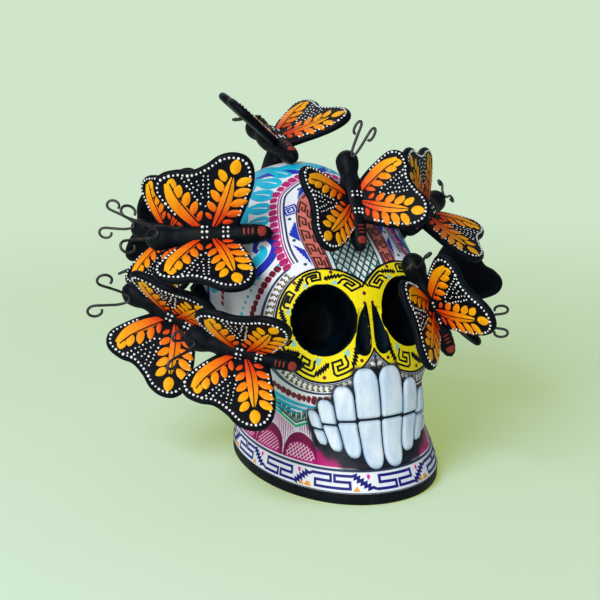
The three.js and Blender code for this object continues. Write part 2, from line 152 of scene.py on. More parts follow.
def mesh_object(name, points, faces, material):
    """An object whose mesh has these points, given in millimetres."""
    mesh = bpy.data.meshes.new(name)
    mesh.from_pydata((np.asarray(points) * mm).tolist(), [], [list(face) for face in faces])
    mesh.materials.append(material)
    mesh.shade_smooth()
    thing = bpy.data.objects.new(name, mesh)
    scene.collection.objects.link(thing)
    return thing


floor_reach = 3000
floor_corners = [(x * floor_reach, y * floor_reach, 0) for x, y in ((-1, -1), (1, -1), (1, 1), (-1, 1))]
mesh_object("table_top", floor_corners, [(0, 1, 2, 3)], floor_material())

# Skull shell
# The skull is thin earthenware pressed in a mould and left open underneath. Its round cheeks carry the eye
# rings, a muzzle carries the teeth, and two cups were pushed in for the sockets and two drops for the nose.
skull_height, skull_length, skull_width = 135.5, 150, 98
skull_wall, slab_thickness = 5, 5.5
# Height, reach in front, reach behind and half width of each slice, as shares, from the rim to the crown.
slices = np.array([
    [0, 0.423, 0.423, 0.453], [0.07, 0.39, 0.417, 0.431], [0.15, 0.347, 0.467, 0.404],
    [0.24, 0.307, 0.567, 0.418], [0.36, 0.28, 0.64, 0.454], [0.5, 0.263, 0.68, 0.49],
    [0.64, 0.22, 0.687, 0.5], [0.77, 0.12, 0.647, 0.449], [0.87, 0, 0.553, 0.342],
    [0.945, -0.093, 0.46, 0.219], [0.986, -0.187, 0.367, 0.107], [1, -0.273, 0.273, 0]])
squareness, smallest_half = 2.08, 0.003
eye_yaw, eye_pitch = math.radians(12), math.radians(18)
eye_middle = np.array([20.2, -34.5, 76.2])
cheek_size = np.array([25.4, 29.5, 14])
muzzle_size = np.array([24.5, 13, 25])
muzzle_middle = np.array([0, -38.5, 34])
blend_width = 8
furthest_bulge, whole_steps, halvings = 22, 24, 12


def curved(a, b, c, d, t):
    """A place at share t of a smooth curve's stretch from b to c, with a before it and d after."""
    return b + 0.5 * t * (c - a + t * (2 * a - 5 * b + 4 * c - d + t * (3 * (b - c) + d - a)))


def slice_at(position):
    """Height, middle, half length and half width of the slices, from 0 at the rim to 1 at the crown."""
    last = len(slices) - 1
    along = np.clip(np.asarray(position, float) * last, 0, last - 1e-9)
    row = np.floor(along).astype(int)
    crown = slices[last - 1]
    beyond = [crown[0], -crown[2], -crown[1], -crown[3]]
    listed = np.vstack([2 * slices[0] - slices[1], slices, beyond])
    shares = curved(*(listed[row + k] for k in range(4)), (along - row)[..., None])
    height = slab_thickness + shares[..., 0] * (skull_height - slab_thickness)
    middle = (shares[..., 2] - shares[..., 1]) * skull_length / 2
    half_length = (shares[..., 2] + shares[..., 1]) * skull_length / 2
    return height, middle, half_length, np.maximum(shares[..., 3], 0) * skull_width


positions = np.linspace(0, 1, 2001)
height_table = slice_at(positions)[0]


def position_at(height):
    return np.interp(height, height_table, positions)


def oval_reach(half_length, half_width, angle, inset=0):
    along = np.abs(np.cos(angle)) / np.maximum(half_length - inset, smallest_half)
    across = np.abs(np.sin(angle)) / np.maximum(half_width - inset, smallest_half)
    return (along ** squareness + across ** squareness) ** (-1 / squareness)


def level_ring(middle, reach, turn, height):
    """Places this far from the slice's middle, on a level."""
    return np.stack(np.broadcast_arrays(reach * np.sin(turn), middle - reach * np.cos(turn), height), -1)


def looking(turn, rise):
    """Axes across, up and out, as rows, of what looks this far round the skull and this far up."""
    out = np.array([math.sin(turn) * math.cos(rise), -math.cos(turn) * math.cos(rise), math.sin(rise)])
    across = np.array([math.cos(turn), math.sin(turn), 0])
    return np.array([across, np.cross(out, across), out])


def eye_frame(side):
    """The axes of one eye and its middle. side is 1 for the skull's own left eye."""
    return looking(eye_yaw * side, eye_pitch), eye_middle * [side, 1, 1]


def blended(a, b):
    mix = np.maximum(blend_width - np.abs(a - b), 0) / blend_width
    return np.minimum(a, b) - mix * mix * blend_width / 4


def skull_point(position, angle):
    """Points of the skull's outside, found by coming in along a level line to the slice's middle."""
    position, angle = np.broadcast_arrays(np.asarray(position, float), np.asarray(angle, float))
    height, middle, half_length, half_width = slice_at(position)
    plain = oval_reach(half_length, half_width, angle)

    def outside(reach):
        point = level_ring(middle, reach, angle, height)
        distance = reach - plain
        for side in (-1, 1):
            axes, centre = eye_frame(side)
            local = (point - centre) @ axes.T + [0, 0, cheek_size[2]]
            across, up, out = np.moveaxis(np.abs(local) / cheek_size, -1, 0)
            cheek = ((np.hypot(across, up) ** 3 + out ** 3) ** (1 / 3) - 1) * cheek_size[2]
            distance = blended(distance, cheek)
        muzzle = (np.linalg.norm((point - muzzle_middle) / muzzle_size, axis=-1) - 1) * muzzle_size[1]
        return blended(distance, muzzle)

    outer = plain + furthest_bulge
    found = np.zeros(plain.shape, bool)
    for _ in range(whole_steps):
        step = outer - 1
        found |= (step <= plain) | (outside(step) <= 0)
        outer = np.where(found, outer, step)
    inner = outer - 1
    for _ in range(halvings):
        half = (inner + outer) / 2
        free = outside(half) > 0
        outer, inner = np.where(free, half, outer), np.where(free, inner, half)
    return level_ring(middle, np.where(half_width > 0, np.maximum(inner, 0), 0), angle, height)


def grid_faces(rows, columns, closed):
    """Quads between neighbouring rows of points."""
    k = np.arange(columns if closed else columns - 1)
    after = (k + 1) % columns
    base = np.arange(rows - 1)[:, None] * columns
    return np.stack([base + k, base + after, base + after + columns, base + k + columns], -1).reshape(-1, 4)


def closed_rings(rings):
    """Points and faces of a skin over rings that run anticlockwise as seen from beyond the last one."""
    rings = np.asarray(rings)
    rows, columns = rings.shape[:2]
    points = np.vstack([rings.reshape(-1, 3), rings[0].mean(0), rings[-1].mean(0)])
    faces = grid_faces(rows, columns, True).tolist()
    first, last, top = rows * columns, rows * columns + 1, (rows - 1) * columns
    for k in range(columns):
        after = (k + 1) % columns
        faces += [(first, after, k), (last, top + k, top + after)]
    return points, faces


def sockets(tree, inputs, outputs):
    """Names a node tree's inputs, by kind and, where it has one, value, and its outputs."""
    for name, kind, *value in inputs:
        socket = tree.interface.new_socket(name, in_out="INPUT", socket_type=f"NodeSocket{kind}")
        if value:
            socket.default_value = value[0]
    for name, kind in outputs:
        tree.interface.new_socket(name, in_out="OUTPUT", socket_type=f"NodeSocket{kind}")


def maths(tree, operation, a, b):
    return put(tree, "ShaderNodeMath", {0: a, 1: b}, operation=operation).outputs[0]


def brushed_paint():
    """A group that turns two shades into a hand-brushed coat with thin places, rubbed specks and soot."""
    tree = bpy.data.node_groups.new("brushed_paint", "ShaderNodeTree")
    sockets(tree, [("Colour", "Color", (1, 1, 1, 1)), ("Deep", "Color", (0, 0, 0, 1)),
                   ("Rubbed", "Color", (1, 1, 1, 1)), ("Stroke", "Float", 300.0), ("Wash", "Float", 0.5),
                   ("Soot", "Float", 0.0)],
            [("Colour", "Color"), ("Roughness", "Float"), ("Height", "Float")])
    given = put(tree, "NodeGroupInput").outputs
    place = put(tree, "ShaderNodeTexCoord").outputs["Object"]
    drawn = put(tree, "ShaderNodeMapping", {"Vector": place, "Scale": (1, 1, 0.3)}).outputs["Vector"]
    streak, broad, speck, fine = (
        put(tree, "ShaderNodeTexNoise", {"Vector": vector, "Scale": scale}).outputs["Fac"]
        for vector, scale in ((drawn, given["Stroke"]), (place, 55), (place, 900), (place, 1500)))

    def step(value, low, high):
        node = put(tree, "ShaderNodeMapRange", {"Value": value, "From Min": low, "From Max": high})
        return node.outputs["Result"]

    def mixed(factor, a, b):
        node = put(tree, "ShaderNodeMix", {"Factor": factor, "A": a, "B": b}, data_type="RGBA")
        return node.outputs["Result"]

    thin = maths(tree, "MULTIPLY", step(streak, 0.36, 0.68), given["Wash"])
    cloudy = maths(tree, "MULTIPLY", step(broad, 0.45, 0.75), maths(tree, "MULTIPLY", given["Wash"], 0.5))
    colour = mixed(maths(tree, "MAXIMUM", thin, cloudy), given["Colour"], given["Deep"])
    colour = mixed(maths(tree, "MULTIPLY", step(speck, 0.7, 0.78), 0.5), colour, given["Rubbed"])
    colour = mixed(given["Soot"], colour, (0.007, 0.01, 0.02, 1))
    rough = maths(tree, "ADD", maths(tree, "MULTIPLY", streak, 0.22), 0.34)
    rough = maths(tree, "ADD", rough, maths(tree, "MULTIPLY", speck, 0.1))
    height = maths(tree, "ADD", maths(tree, "MULTIPLY", streak, 0.7), maths(tree, "MULTIPLY", fine, 0.3))
    put(tree, "NodeGroupOutput", {"Colour": colour, "Roughness": rough, "Height": height})
    return tree


brushwork = brushed_paint()


def paint(name, colour, deep, rubbed=(0.8, 0.8, 0.84), stroke=320, wash=0.6, relief=0.00012, sheen=0.0,
          mirror=0.25):
    """A brushed paint. It darkens where the soot attribute says so, and rubbed shows in its worn specks."""
    material, tree = new_material(name)
    soot = put(tree, "ShaderNodeAttribute", attribute_name="soot")
    coat = put(tree, "ShaderNodeGroup", {
        "Colour": (*colour, 1), "Deep": (*deep, 1), "Rubbed": (*rubbed, 1), "Stroke": stroke, "Wash": wash,
        "Soot": soot.outputs["Fac"]}, node_tree=brushwork, name="coat")
    bump = put(tree, "ShaderNodeBump",
               {"Distance": relief, "Strength": 0.6, "Height": coat.outputs["Height"]})
    fill(tree, tree.nodes["Principled BSDF"], {
        "Specular IOR Level": mirror, "Coat Weight": sheen, "Coat Roughness": 0.2,
        "Base Color": coat.outputs["Colour"], "Roughness": coat.outputs["Roughness"],
        "Normal": bump.outputs["Normal"]})
    return material


white_ground = paint("white_ground", (0.83, 0.85, 0.91), (0.68, 0.72, 0.84), rubbed=(0.5, 0.5, 0.55),
                     stroke=120, wash=0.35, relief=0.0002, sheen=0.06, mirror=0.16)
# The black of the sockets and the nose is far darker than the other blacks, so that the floor of each hollow
# stays as dark as the deep shade there: black paint and painted shade together.
socket_black = paint("socket_black", (0.0004, 0.0008, 0.0012), (0.001, 0.009, 0.016),
                     rubbed=(0.01, 0.02, 0.03), stroke=60, wash=0.9, mirror=0.05)
yellow = paint("ring_yellow", (0.94, 0.79, 0.003), (0.88, 0.66, 0.003), rubbed=(0.9, 0.8, 0.2), wash=0.4)
bare_clay = paint("bare_clay", (0.42, 0.2, 0.12), (0.3, 0.13, 0.08), rubbed=(0.55, 0.36, 0.26), stroke=80,
                  wash=0.7)

face_crowding, crown_position = 0.35, 0.998
shell_rows, shell_columns = 204, 330
socket_rise, past_mouth = 2.4, 6
socket_half, socket_depth = (14.8, 16.1), 22
socket_wall_half, socket_wall_depth = (18.6, 19.9), 26
lip_round, lip_flare = 2.4, 0.06
below_rim, hollow_top = 6, 0.955
nose_height, nose_aside, nose_half = 74, 4.2, (3.9, 2.4, 10.2)


def full_turn(count):
    return np.linspace(0, 2 * math.pi, count, endpoint=False)


def skull_rings(rows, columns):
    """The shell's outside, with its columns crowded towards the face."""
    turn = full_turn(columns)
    return skull_point(np.linspace(0, crown_position, rows)[:, None],
                       (turn - face_crowding * np.sin(turn))[None])


def oval_ring(half_width, half_height, count, depth=0.0):
    turn = full_turn(count)
    return np.column_stack([half_width * np.cos(turn), half_height * np.sin(turn), np.full(count, depth)])


def cup(side, half, depth, flare):
    """A blind cup along the eye's axis, with a rounded floor and a flared lip, run out past its mouth."""
    axes, centre = eye_frame(side)
    profile = [(depth * (0.4 * (1 - math.cos(t)) - 1), 0.8 - 0.4 * (1 - math.sin(t)))
               for t in np.linspace(0, math.pi / 2, 9)]
    profile += [(-depth * 0.35, 1 - flare)]
    profile += [(-lip_round + lip_round * math.sin(t), 1 - flare * math.cos(t))
                for t in np.linspace(0, math.pi / 2, 6)]
    profile += [(past_mouth, 1)]
    middle = centre + axes[1] * socket_rise
    return closed_rings([oval_ring(half[0] * r, half[1] * r, 96, d) @ axes + middle for d, r in profile])


def hollow():
    """The room inside, a wall's thickness in from the plain slices and open below the rim."""
    turn, rings = full_turn(48), []
    for row, position in enumerate(np.linspace(0, hollow_top, 20)):
        height, middle, half_length, half_width = slice_at(position)
        reach = oval_reach(half_length, half_width, turn, skull_wall)
        height = height - below_rim if row == 0 else min(height, skull_height - skull_wall)
        rings.append(level_ring(middle, reach, turn, height))
    return closed_rings(rings)


def drop_share(rise):
    """How wide the nose's drop is at a share of the way up or down from its middle. Its top is pointed."""
    return np.sqrt(1 - rise ** 2) * (0.78 - 0.34 * rise)


def rotation(axis, angle):
    """The matrix that turns a place, written as a column, about one axis."""
    a, b = (axis + 1) % 3, (axis + 2) % 3
    matrix = np.eye(3)
    matrix[a, a] = matrix[b, b] = math.cos(angle)
    matrix[a, b], matrix[b, a] = -math.sin(angle), math.sin(angle)
    return matrix


def nose_drop(side):
    """A drop-shaped hollow for one side of the nose."""
    position = position_at(nose_height)
    seat = skull_point(position, side * math.asin(nose_aside / slice_at(position)[2]))
    rings = [oval_ring(nose_half[0] * drop_share(rise), nose_half[1] * drop_share(rise), 32,
                       nose_half[2] * rise)
             for rise in np.linspace(-0.99, 0.99, 20)]
    return closed_rings([ring @ rotation(0, eye_pitch) + seat for ring in rings])


def settled(thing):
    """thing with its modifiers run and taken off, so that its mesh is plain."""
    mesh = bpy.data.meshes.new_from_object(thing.evaluated_get(bpy.context.evaluated_depsgraph_get()))
    thing.modifiers.clear()
    thing.data = mesh
    mesh.shade_smooth()
    return thing


def carved(thing, cutters):
    """thing with each cutter taken out of it, as a plain mesh."""
    for cutter in cutters:
        cut = thing.modifiers.new("cut", "BOOLEAN")
        cut.operation, cut.solver, cut.object = "DIFFERENCE", "MANIFOLD", cutter
    thing = settled(thing)
    for cutter in cutters:
        bpy.data.objects.remove(cutter)
    return thing


inside = mesh_object("inside", *hollow(), bare_clay)
socket_walls = [mesh_object("socket_wall", *cup(side, socket_wall_half, socket_wall_depth, 0), bare_clay)
                for side in (-1, 1)]
inside = carved(inside, socket_walls)
shell = mesh_object("painted_skull", *closed_rings(skull_rings(shell_rows, shell_columns)), white_ground)
cutters = [inside]
cutters += [mesh_object("socket", *cup(side, socket_half, socket_depth, lip_flare), socket_black)
            for side in (-1, 1)]
cutters += [mesh_object("nose", *nose_drop(side), socket_black) for side in (-1, 1)]
shell = carved(shell, cutters)


def places_in(items, key):
    """Places read from a mesh, in millimetres."""
    flat = np.empty(len(items) * 3)
    items.foreach_get(key, flat)
    return flat.reshape(-1, 3) * 1000


def in_oval(across, up, half):
    return (across / half[0]) ** 2 + (up / half[1]) ** 2 < 1


# White covers the outside, black the sockets and the nose, and bare clay the inside. Yellow lies under the
# eye rings and the bridge, so that no white shows at the edge of the black.
white_coat, black_coat, clay_coat, yellow_coat = range(4)
black_half, yellow_half = (14.79, 16.09), (16, 17.3)
wall_depth, inner_top, carved_depth = 3, 131, 0.12
bridge_half, bridge_height, bridge_front = (8.5, 9.5), 76.5, -30
nose_zone, nose_front, nose_paint_half = (11, 14), -35, 4.1
shell_mesh = shell.data
shell_mesh.materials.clear()
for finish in (white_ground, socket_black, bare_clay, yellow):
    shell_mesh.materials.append(finish)
middles = places_in(shell_mesh.polygons, "center")
x, y, z = middles.T
_, middle, half_length, half_width = slice_at(position_at(z))
around = np.arctan2(x, middle - y)
depth = oval_reach(half_length, half_width, around) - np.hypot(x, middle - y)
coat_of = np.full(len(middles), white_coat)
coat_of[(depth > wall_depth) & (z < inner_top)] = clay_coat
for side in (-1, 1):
    axes, centre = eye_frame(side)
    across, up, out = ((middles - centre - axes[1] * socket_rise) @ axes.T).T
    near_cup = (out > -socket_depth - 0.5) & (out < past_mouth)
    coat_of[near_cup & in_oval(across, up, yellow_half) & (coat_of == white_coat)] = yellow_coat
    coat_of[near_cup & in_oval(across, up, black_half)] = black_coat
sunk = np.linalg.norm(skull_point(position_at(z), around) - middles, axis=1) > carved_depth
bridge = ((np.abs(x) < bridge_half[0]) & (np.abs(z - bridge_height) < bridge_half[1]) & (y < bridge_front)
          & (depth < wall_depth))
coat_of[bridge & (coat_of == white_coat)] = yellow_coat
rise = np.clip((z - nose_height) / nose_half[2], -1, 1)
in_drop = np.abs(np.abs(x) - nose_aside) < nose_paint_half * drop_share(rise)
near_nose = ((np.abs(x) < nose_zone[0]) & (np.abs(z - nose_height) < nose_zone[1]) & (y < nose_front)
             & (depth < wall_depth))
coat_of[near_nose & (sunk | in_drop)] = black_coat
shell_mesh.polygons.foreach_set("material_index", coat_of.tolist())
shell_mesh.set_sharp_from_angle(angle=math.radians(38))
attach(shell, "root")
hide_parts("skull_shell")

# Teeth
# The teeth stand a little out of the muzzle as long cushions pressed in the same mould. They are painted pale
# blue-white inside a dark mouth that was airbrushed and fades out over the jaw.
bite_height, bite_droop = 36, 5
tooth_width, upper_height, lower_height = 11.2, 22.2, 21.2
tooth_widths = (1, 0.8, 0.64, 0.48)
upper_shares, lower_shares = (1, 0.7, 0.5, 0.36), (1, 0.76, 0.56, 0.32)
tooth_relief, tooth_gap, tooth_sink, tooth_round = 1.4, 0.16, 0.3, 1.7
tooth_rows, tooth_columns = 30, 19
jaw_height, jaw_middle, mouth_floor = 22, 15, 14.2


def run_along(line):
    """How far along a line each of its points lies."""
    return np.concatenate([[0], np.cumsum(np.linalg.norm(np.diff(line, axis=0), axis=1))])


jaw_line = skull_point(position_at(jaw_height), np.linspace(-math.pi, math.pi, 1441))
jaw_turn = np.arctan2(jaw_line[:, 0], jaw_middle - jaw_line[:, 1])
jaw_turn[0] = -math.pi
jaw_run = run_along(jaw_line)
jaw_run -= np.interp(0, jaw_turn, jaw_run)


def run_of(points):
    """How far round the jaw a point is, in millimetres from the middle of the face."""
    return np.interp(np.arctan2(points[:, 0], jaw_middle - points[:, 1]), jaw_turn, jaw_run)


def tooth_places():
    """Turn, radius, width, bite height, way up or down and height of each tooth."""
    middle = slice_at(position_at(bite_height))[1]
    for side in (-1, 1):
        passed = 0.0
        for n, share in enumerate(tooth_widths):
            width = share * tooth_width
            edge = skull_point(position_at(bite_height), side * passed)
            radius = math.hypot(edge[0], edge[1] - middle)
            bite = bite_height - bite_droop * (n / 3) ** 2
            angle = side * (passed + width / radius / 2)
            for way, tall in ((1, upper_shares[n] * upper_height), (-1, lower_shares[n] * lower_height)):
                yield angle, radius, width, bite, way, tall
            passed += width / radius


tooth_boxes = []
for angle, radius, width, bite, way, tall in tooth_places():
    middle_point = skull_point(position_at(bite + way * tall / 2), np.array([angle]))
    low, high = sorted((bite, bite + way * tall))
    tooth_boxes.append((run_of(middle_point)[0], width / 2, low, high))


def soot_at(points):
    """How dark the airbrushed mouth leaves each point, from 0 to 1."""
    run, height = run_of(points), points[:, 2]
    closeness = np.zeros(len(points))
    for middle, half, low, high in tooth_boxes:
        aside = np.maximum(np.abs(run - middle) - half * 0.7, 0) * 1.4
        above = np.maximum(height - high + 2, 0) * 1.8
        below = np.maximum(low + 2 - height, 0) * (0.5 + 0.17 * (tooth_width / 2 - half))
        closeness += np.exp(-np.hypot(aside, above + below) / 1.5)
    dark = np.clip((6.2 + 1.5 * np.log(np.maximum(closeness, 1e-9))) / 3.0, 0, 1)
    return np.where(points[:, 1] < 0, dark * dark * (3 - 2 * dark), 0) * (height > mouth_floor)


def shade(thing, values, name="soot"):
    """Keeps a value for each point of the mesh, which its paint reads."""
    held = thing.data.attributes.new(name, "FLOAT", "POINT").data
    held.foreach_set("value", np.asarray(values, float).tolist())


shade(shell, soot_at(places_in(shell_mesh.vertices, "co")))


def tooth_material():
    """The teeth's paint is bluer round each cushion's rim."""
    material = paint("tooth_paint", (0.76, 0.84, 0.93), (0.5, 0.65, 0.84), rubbed=(0.35, 0.45, 0.6),
                     stroke=230, wash=0.8, relief=0.00015, mirror=0.3)
    tree = material.node_tree
    rim = put(tree, "ShaderNodeAttribute", attribute_name="rim")
    colour = tree.nodes["coat"].outputs["Colour"]
    edge = put(tree, "ShaderNodeMix", {"Factor": rim.outputs["Fac"], "A": colour, "B": (0.13, 0.3, 0.5, 1)},
               data_type="RGBA")
    fill(tree, tree.nodes["Principled BSDF"], {"Base Color": edge.outputs["Result"]})
    return material


def tooth(angle, radius, width, bite, way, tall):
    """Points, quads and closeness to the rim of one cushion, laid over the muzzle."""
    along, across = np.linspace(0, 1, tooth_rows), np.linspace(-1, 1, tooth_columns)
    start = 1 - min(width * 0.62 / tall, 0.8)
    shape = (1 - np.clip((along - start) / (1 - start), 0, 1) ** 2.3) ** (1 / 2.2)
    shape *= 1 - 0.2 * np.clip(1 - along * tall / 1.4, 0, 1) ** 2
    half = (width / 2 - tooth_gap) * np.maximum(shape, 0.02)
    rise = 0.35 + along * (tall - 0.35)
    turns = angle + across[None, :] * half[:, None] / radius
    surface = skull_point(position_at(bite + way * rise)[:, None], turns)
    out = np.cross(np.gradient(surface, axis=1), np.gradient(surface, axis=0)) * way
    out /= np.linalg.norm(out, axis=-1, keepdims=True)
    from_side = (1 - np.abs(across))[None, :] * half[:, None]
    inset = np.minimum(from_side, np.minimum((1 - along) * tall * 0.7, along * tall)[:, None])
    crown = np.sqrt(1 - (1 - np.clip(inset / tooth_round, 0, 1)) ** 2)
    lift = -tooth_sink + (tooth_relief + tooth_sink) * crown
    rim = np.clip(1 - inset / 1.9, 0, 1) ** 2 * 0.6
    faces = grid_faces(tooth_rows, tooth_columns, False)
    return (surface + out * lift[..., None]).reshape(-1, 3), faces if way > 0 else faces[:, ::-1], rim.ravel()


def joined(parts):
    """The points of many parts as one list, and their faces as another."""
    starts = np.cumsum([0] + [len(part[0]) for part in parts])
    faces = [np.asarray(part[1]) + start for part, start in zip(parts, starts)]
    return np.vstack([part[0] for part in parts]), np.vstack(faces)


cushions = [tooth(*place) for place in tooth_places()]
teeth = mesh_object("teeth", *joined(cushions), tooth_material())
shade(teeth, np.concatenate([rim for _, _, rim in cushions]), "rim")
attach(teeth, "root")

# Eye rings
# Each eye has a bright yellow ring with black step frets, dark red dots and pale turquoise corners. A white
# band with a brown zigzag and a row of maroon petals go round it. All of it is brushed on by hand.
both_sides = ((-1, "right"), (1, "left"))
ray_length = 60
skin = BVHTree.FromPolygons([tuple(p) for p in places_in(shell_mesh.vertices, "co")],
                            [tuple(face.vertices) for face in shell_mesh.polygons])


def laid(starts, headings, lift):
    """Where rays meet the skull, lifted off it, and which way the skull faces there."""
    places, facings = np.empty_like(starts), np.empty_like(starts)
    lifts = np.broadcast_to(lift, len(starts))
    for n, (start, heading) in enumerate(zip(starts, headings)):
        place, normal, _, _ = skin.ray_cast(Vector(start), Vector(heading))
        if place is None:
            place, normal, _, _ = skin.find_nearest(Vector(start) + Vector(heading) * ray_length)
        facings[n] = normal
        places[n] = place + normal * lifts[n]
    return places, facings


def plane_rays(axes, centre):
    """Rays that carry a drawing on a flat sheet straight back onto the skull."""
    def rays(flat):
        starts = centre + flat[:, :1] * axes[0] + flat[:, 1:2] * axes[1] + axes[2] * ray_length
        return starts, np.tile(-axes[2], (len(flat), 1))
    return rays


def eye_rays(side):
    axes, centre = eye_frame(side)
    return plane_rays(axes * [[side], [1], [1]], centre)


def turned_rays(turn, rise, centre, mirrored=1):
    """Rays for a drawing held against the skull from one way. mirrored is -1 for its twin across the face."""
    flip = np.array([mirrored, 1, 1])
    return plane_rays(looking(turn, rise) * flip, np.array(centre, float) * flip)


def picked(wanted, known, line):
    """A line's places at the wanted runs, where known is the run of each of its points."""
    return np.stack([np.interp(wanted, known, column) for column in line.T], -1)


def resampled(points, count):
    points = np.asarray(points, float)
    run = run_along(points)
    return picked(np.linspace(0, run[-1], count), run, points)


def smooth(points, count):
    """A smooth curve through the points."""
    p = np.asarray(points, float)
    p = np.vstack([2 * p[0] - p[1], p, 2 * p[-1] - p[-2]])
    t = np.linspace(0, len(p) - 3 - 1e-9, count * 4)
    k = np.floor(t).astype(int)
    return resampled(curved(*(p[k + n] for n in range(4)), (t - k)[:, None]), count)


def between(left, right, across, rise=0.0):
    """A patch of paint between two curves of equal point counts, a little thicker along its middle."""
    share = np.linspace(0, 1, across + 1)
    flat = left[:, None] * (1 - share)[None, :, None] + right[:, None] * share[None, :, None]
    crown = np.tile(rise * (1 - (2 * share - 1) ** 2), len(left))
    return flat.reshape(-1, 2), grid_faces(len(left), across + 1, False), crown


def filled_in(points, counts):
    """A line with this many even steps on each of its parts."""
    parts = [points[:1]]
    for a, b, count in zip(points[:-1], points[1:], counts):
        parts.append(a + (b - a) * (np.arange(1, count + 1) / count)[:, None])
    return np.vstack(parts)


def stroke(points, width, closed=False, step=0.9, across=1, rise=0.0):
    """A brush stroke along a line. width is a number, or a rule for it by the share of the way along."""
    points = np.asarray(points, float)
    if closed:
        points = np.vstack([points, points[:1]])
    line = filled_in(points, [max(1, math.ceil(np.linalg.norm(b - a) / step))
                              for a, b in zip(points[:-1], points[1:])])
    ahead = np.diff(line, axis=0)
    ahead = ahead / np.maximum(np.linalg.norm(ahead, axis=1, keepdims=True), 1e-9)
    before = np.vstack([ahead[-1:] if closed else ahead[:1], ahead])
    after = np.vstack([ahead, ahead[:1] if closed else ahead[-1:]])
    aside = before + after
    aside = np.stack([-aside[:, 1], aside[:, 0]], -1)
    aside /= np.maximum(np.linalg.norm(aside, axis=1, keepdims=True), 1e-9)
    spread = np.maximum(np.abs(aside[:, 1] * before[:, 0] - aside[:, 0] * before[:, 1]), 0.6)
    if callable(width):
        width = width(np.linspace(0, 1, len(line)))
    half = aside * (np.broadcast_to(width, len(line)) / 2 / spread)[:, None]
    return between(line + half, line - half, across, rise)


def dot(middle, radius, rise=0.0):
    ends = np.array(middle) + [[-radius, 0], [radius, 0]]
    return stroke(ends, lambda t: 2 * radius * np.sqrt(np.clip(1 - (2 * t - 1) ** 2, 0, 1)), step=radius / 4,
                  across=4, rise=rise)


def leaf(foot, tip, width, belly=1.0, rise=0.0):
    """A leaf or petal. belly above 1 puts its widest part nearer the tip."""
    return stroke([foot, tip], lambda t: width * np.sin(math.pi * np.clip(t, 0, 1) ** belly) ** 0.75,
                  step=0.8, across=4, rise=rise)


def face_along(points, faces, facing):
    """Turns round the faces that look away from facing."""
    corners = points[faces]
    normals = np.cross(corners[:, 2] - corners[:, 0], corners[:, 3] - corners[:, 1])
    away = (normals * facing).sum(1) < 0
    faces[away] = faces[away][:, ::-1]


def film(name, patches, rays, lift, material):
    """Lays patches of paint on the skull as one thin piece."""
    flat, faces = joined(patches)
    places, facings = laid(*rays(flat), lift + np.concatenate([patch[2] for patch in patches]))
    face_along(places, faces, facings[faces].mean(1))
    thing = mesh_object(name, places, faces, material)
    work = bmesh.new()
    work.from_mesh(thing.data)
    bmesh.ops.remove_doubles(work, verts=work.verts, dist=0.000002)
    bmesh.ops.dissolve_degenerate(work, edges=work.edges, dist=0.000002)
    work.to_mesh(thing.data)
    work.free()
    thing.data.shade_smooth()
    shade(thing, soot_at(places_in(thing.data.vertices, "co")))
    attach(thing, "root")


ink = paint("black_ink", (0.002, 0.003, 0.006), (0.006, 0.01, 0.02), rubbed=(0.1, 0.12, 0.16), wash=0.4,
            mirror=0.08)
navy = paint("navy_ink", (0.02, 0.035, 0.09), (0.04, 0.08, 0.17), rubbed=(0.2, 0.25, 0.35))
maroon = paint("maroon_paint", (0.2, 0.004, 0.03), (0.1, 0.003, 0.02), rubbed=(0.4, 0.1, 0.15))
turquoise_pale = paint("pale_turquoise", (0.33, 0.66, 0.52), (0.25, 0.55, 0.5), rubbed=(0.7, 0.8, 0.7))
olive = paint("olive_brown", (0.17, 0.12, 0.02), (0.09, 0.06, 0.01), rubbed=(0.4, 0.35, 0.2))
ground_film = paint("band_white", (0.84, 0.85, 0.9), (0.7, 0.74, 0.85), rubbed=(0.5, 0.5, 0.55), stroke=150,
                    wash=0.35)

hole_half, ring_half = (14.85, 16.15), (21, 25.2)
nose_reach, nose_limit = (24.4, 27.7), 22.2
fret_count, fret_span, first_fret = 6, 47, 220
fret_zigzag = [(0.0, 0.24), (0.02, 0.42), (0.07, 0.28), (0.09, 0.5), (0.14, 0.36), (0.16, 0.58), (0.21, 0.44),
               (0.23, 0.66), (0.28, 0.52), (0.3, 0.74), (0.35, 0.6), (0.38, 0.8)]
fret_hook = [(0.38, 0.8), (0.82, 0.8), (0.88, 0.7), (0.88, 0.26), (0.6, 0.26), (0.6, 0.46), (0.76, 0.46),
             (0.76, 0.62), (0.5, 0.62), (0.44, 0.5), (0.44, 0.24), (0.4, 0.2)]


def ring_point(turn, share):
    """A point of the eye's ring. turn is in degrees from the side away from the nose, and share runs from the
    hole's edge to the ring's. Past 1 it is in millimetres beyond the ring."""
    turn = math.pi - np.radians(np.asarray(turn, float))
    share = np.broadcast_to(share, turn.shape)
    inner = np.stack([hole_half[0] * np.cos(turn), socket_rise + hole_half[1] * np.sin(turn)], -1)
    wide = np.where(np.cos(turn) > 0, np.where(np.sin(turn) < 0, *nose_reach), ring_half[0])
    outer = np.stack([wide * np.cos(turn), ring_half[1] * np.sin(turn)], -1)
    way = outer / np.linalg.norm(outer, axis=-1, keepdims=True)
    point = (inner + (outer - inner) * np.minimum(share, 1)[..., None]
             + way * np.maximum(share - 1, 0)[..., None])
    point[..., 0] *= -1
    point[..., 0] = np.maximum(point[..., 0], -nose_limit)
    return point


def fine_line(pairs, steps=5):
    return filled_in(np.array(pairs, float), [steps] * len(pairs))


def offset_line(line, aside):
    """The same line moved to its left, in its own plane."""
    way = np.gradient(line, axis=0)
    way /= np.maximum(np.linalg.norm(way, axis=1, keepdims=True), 1e-9)
    return line + np.column_stack([-way[:, 1], way[:, 0]]) * aside


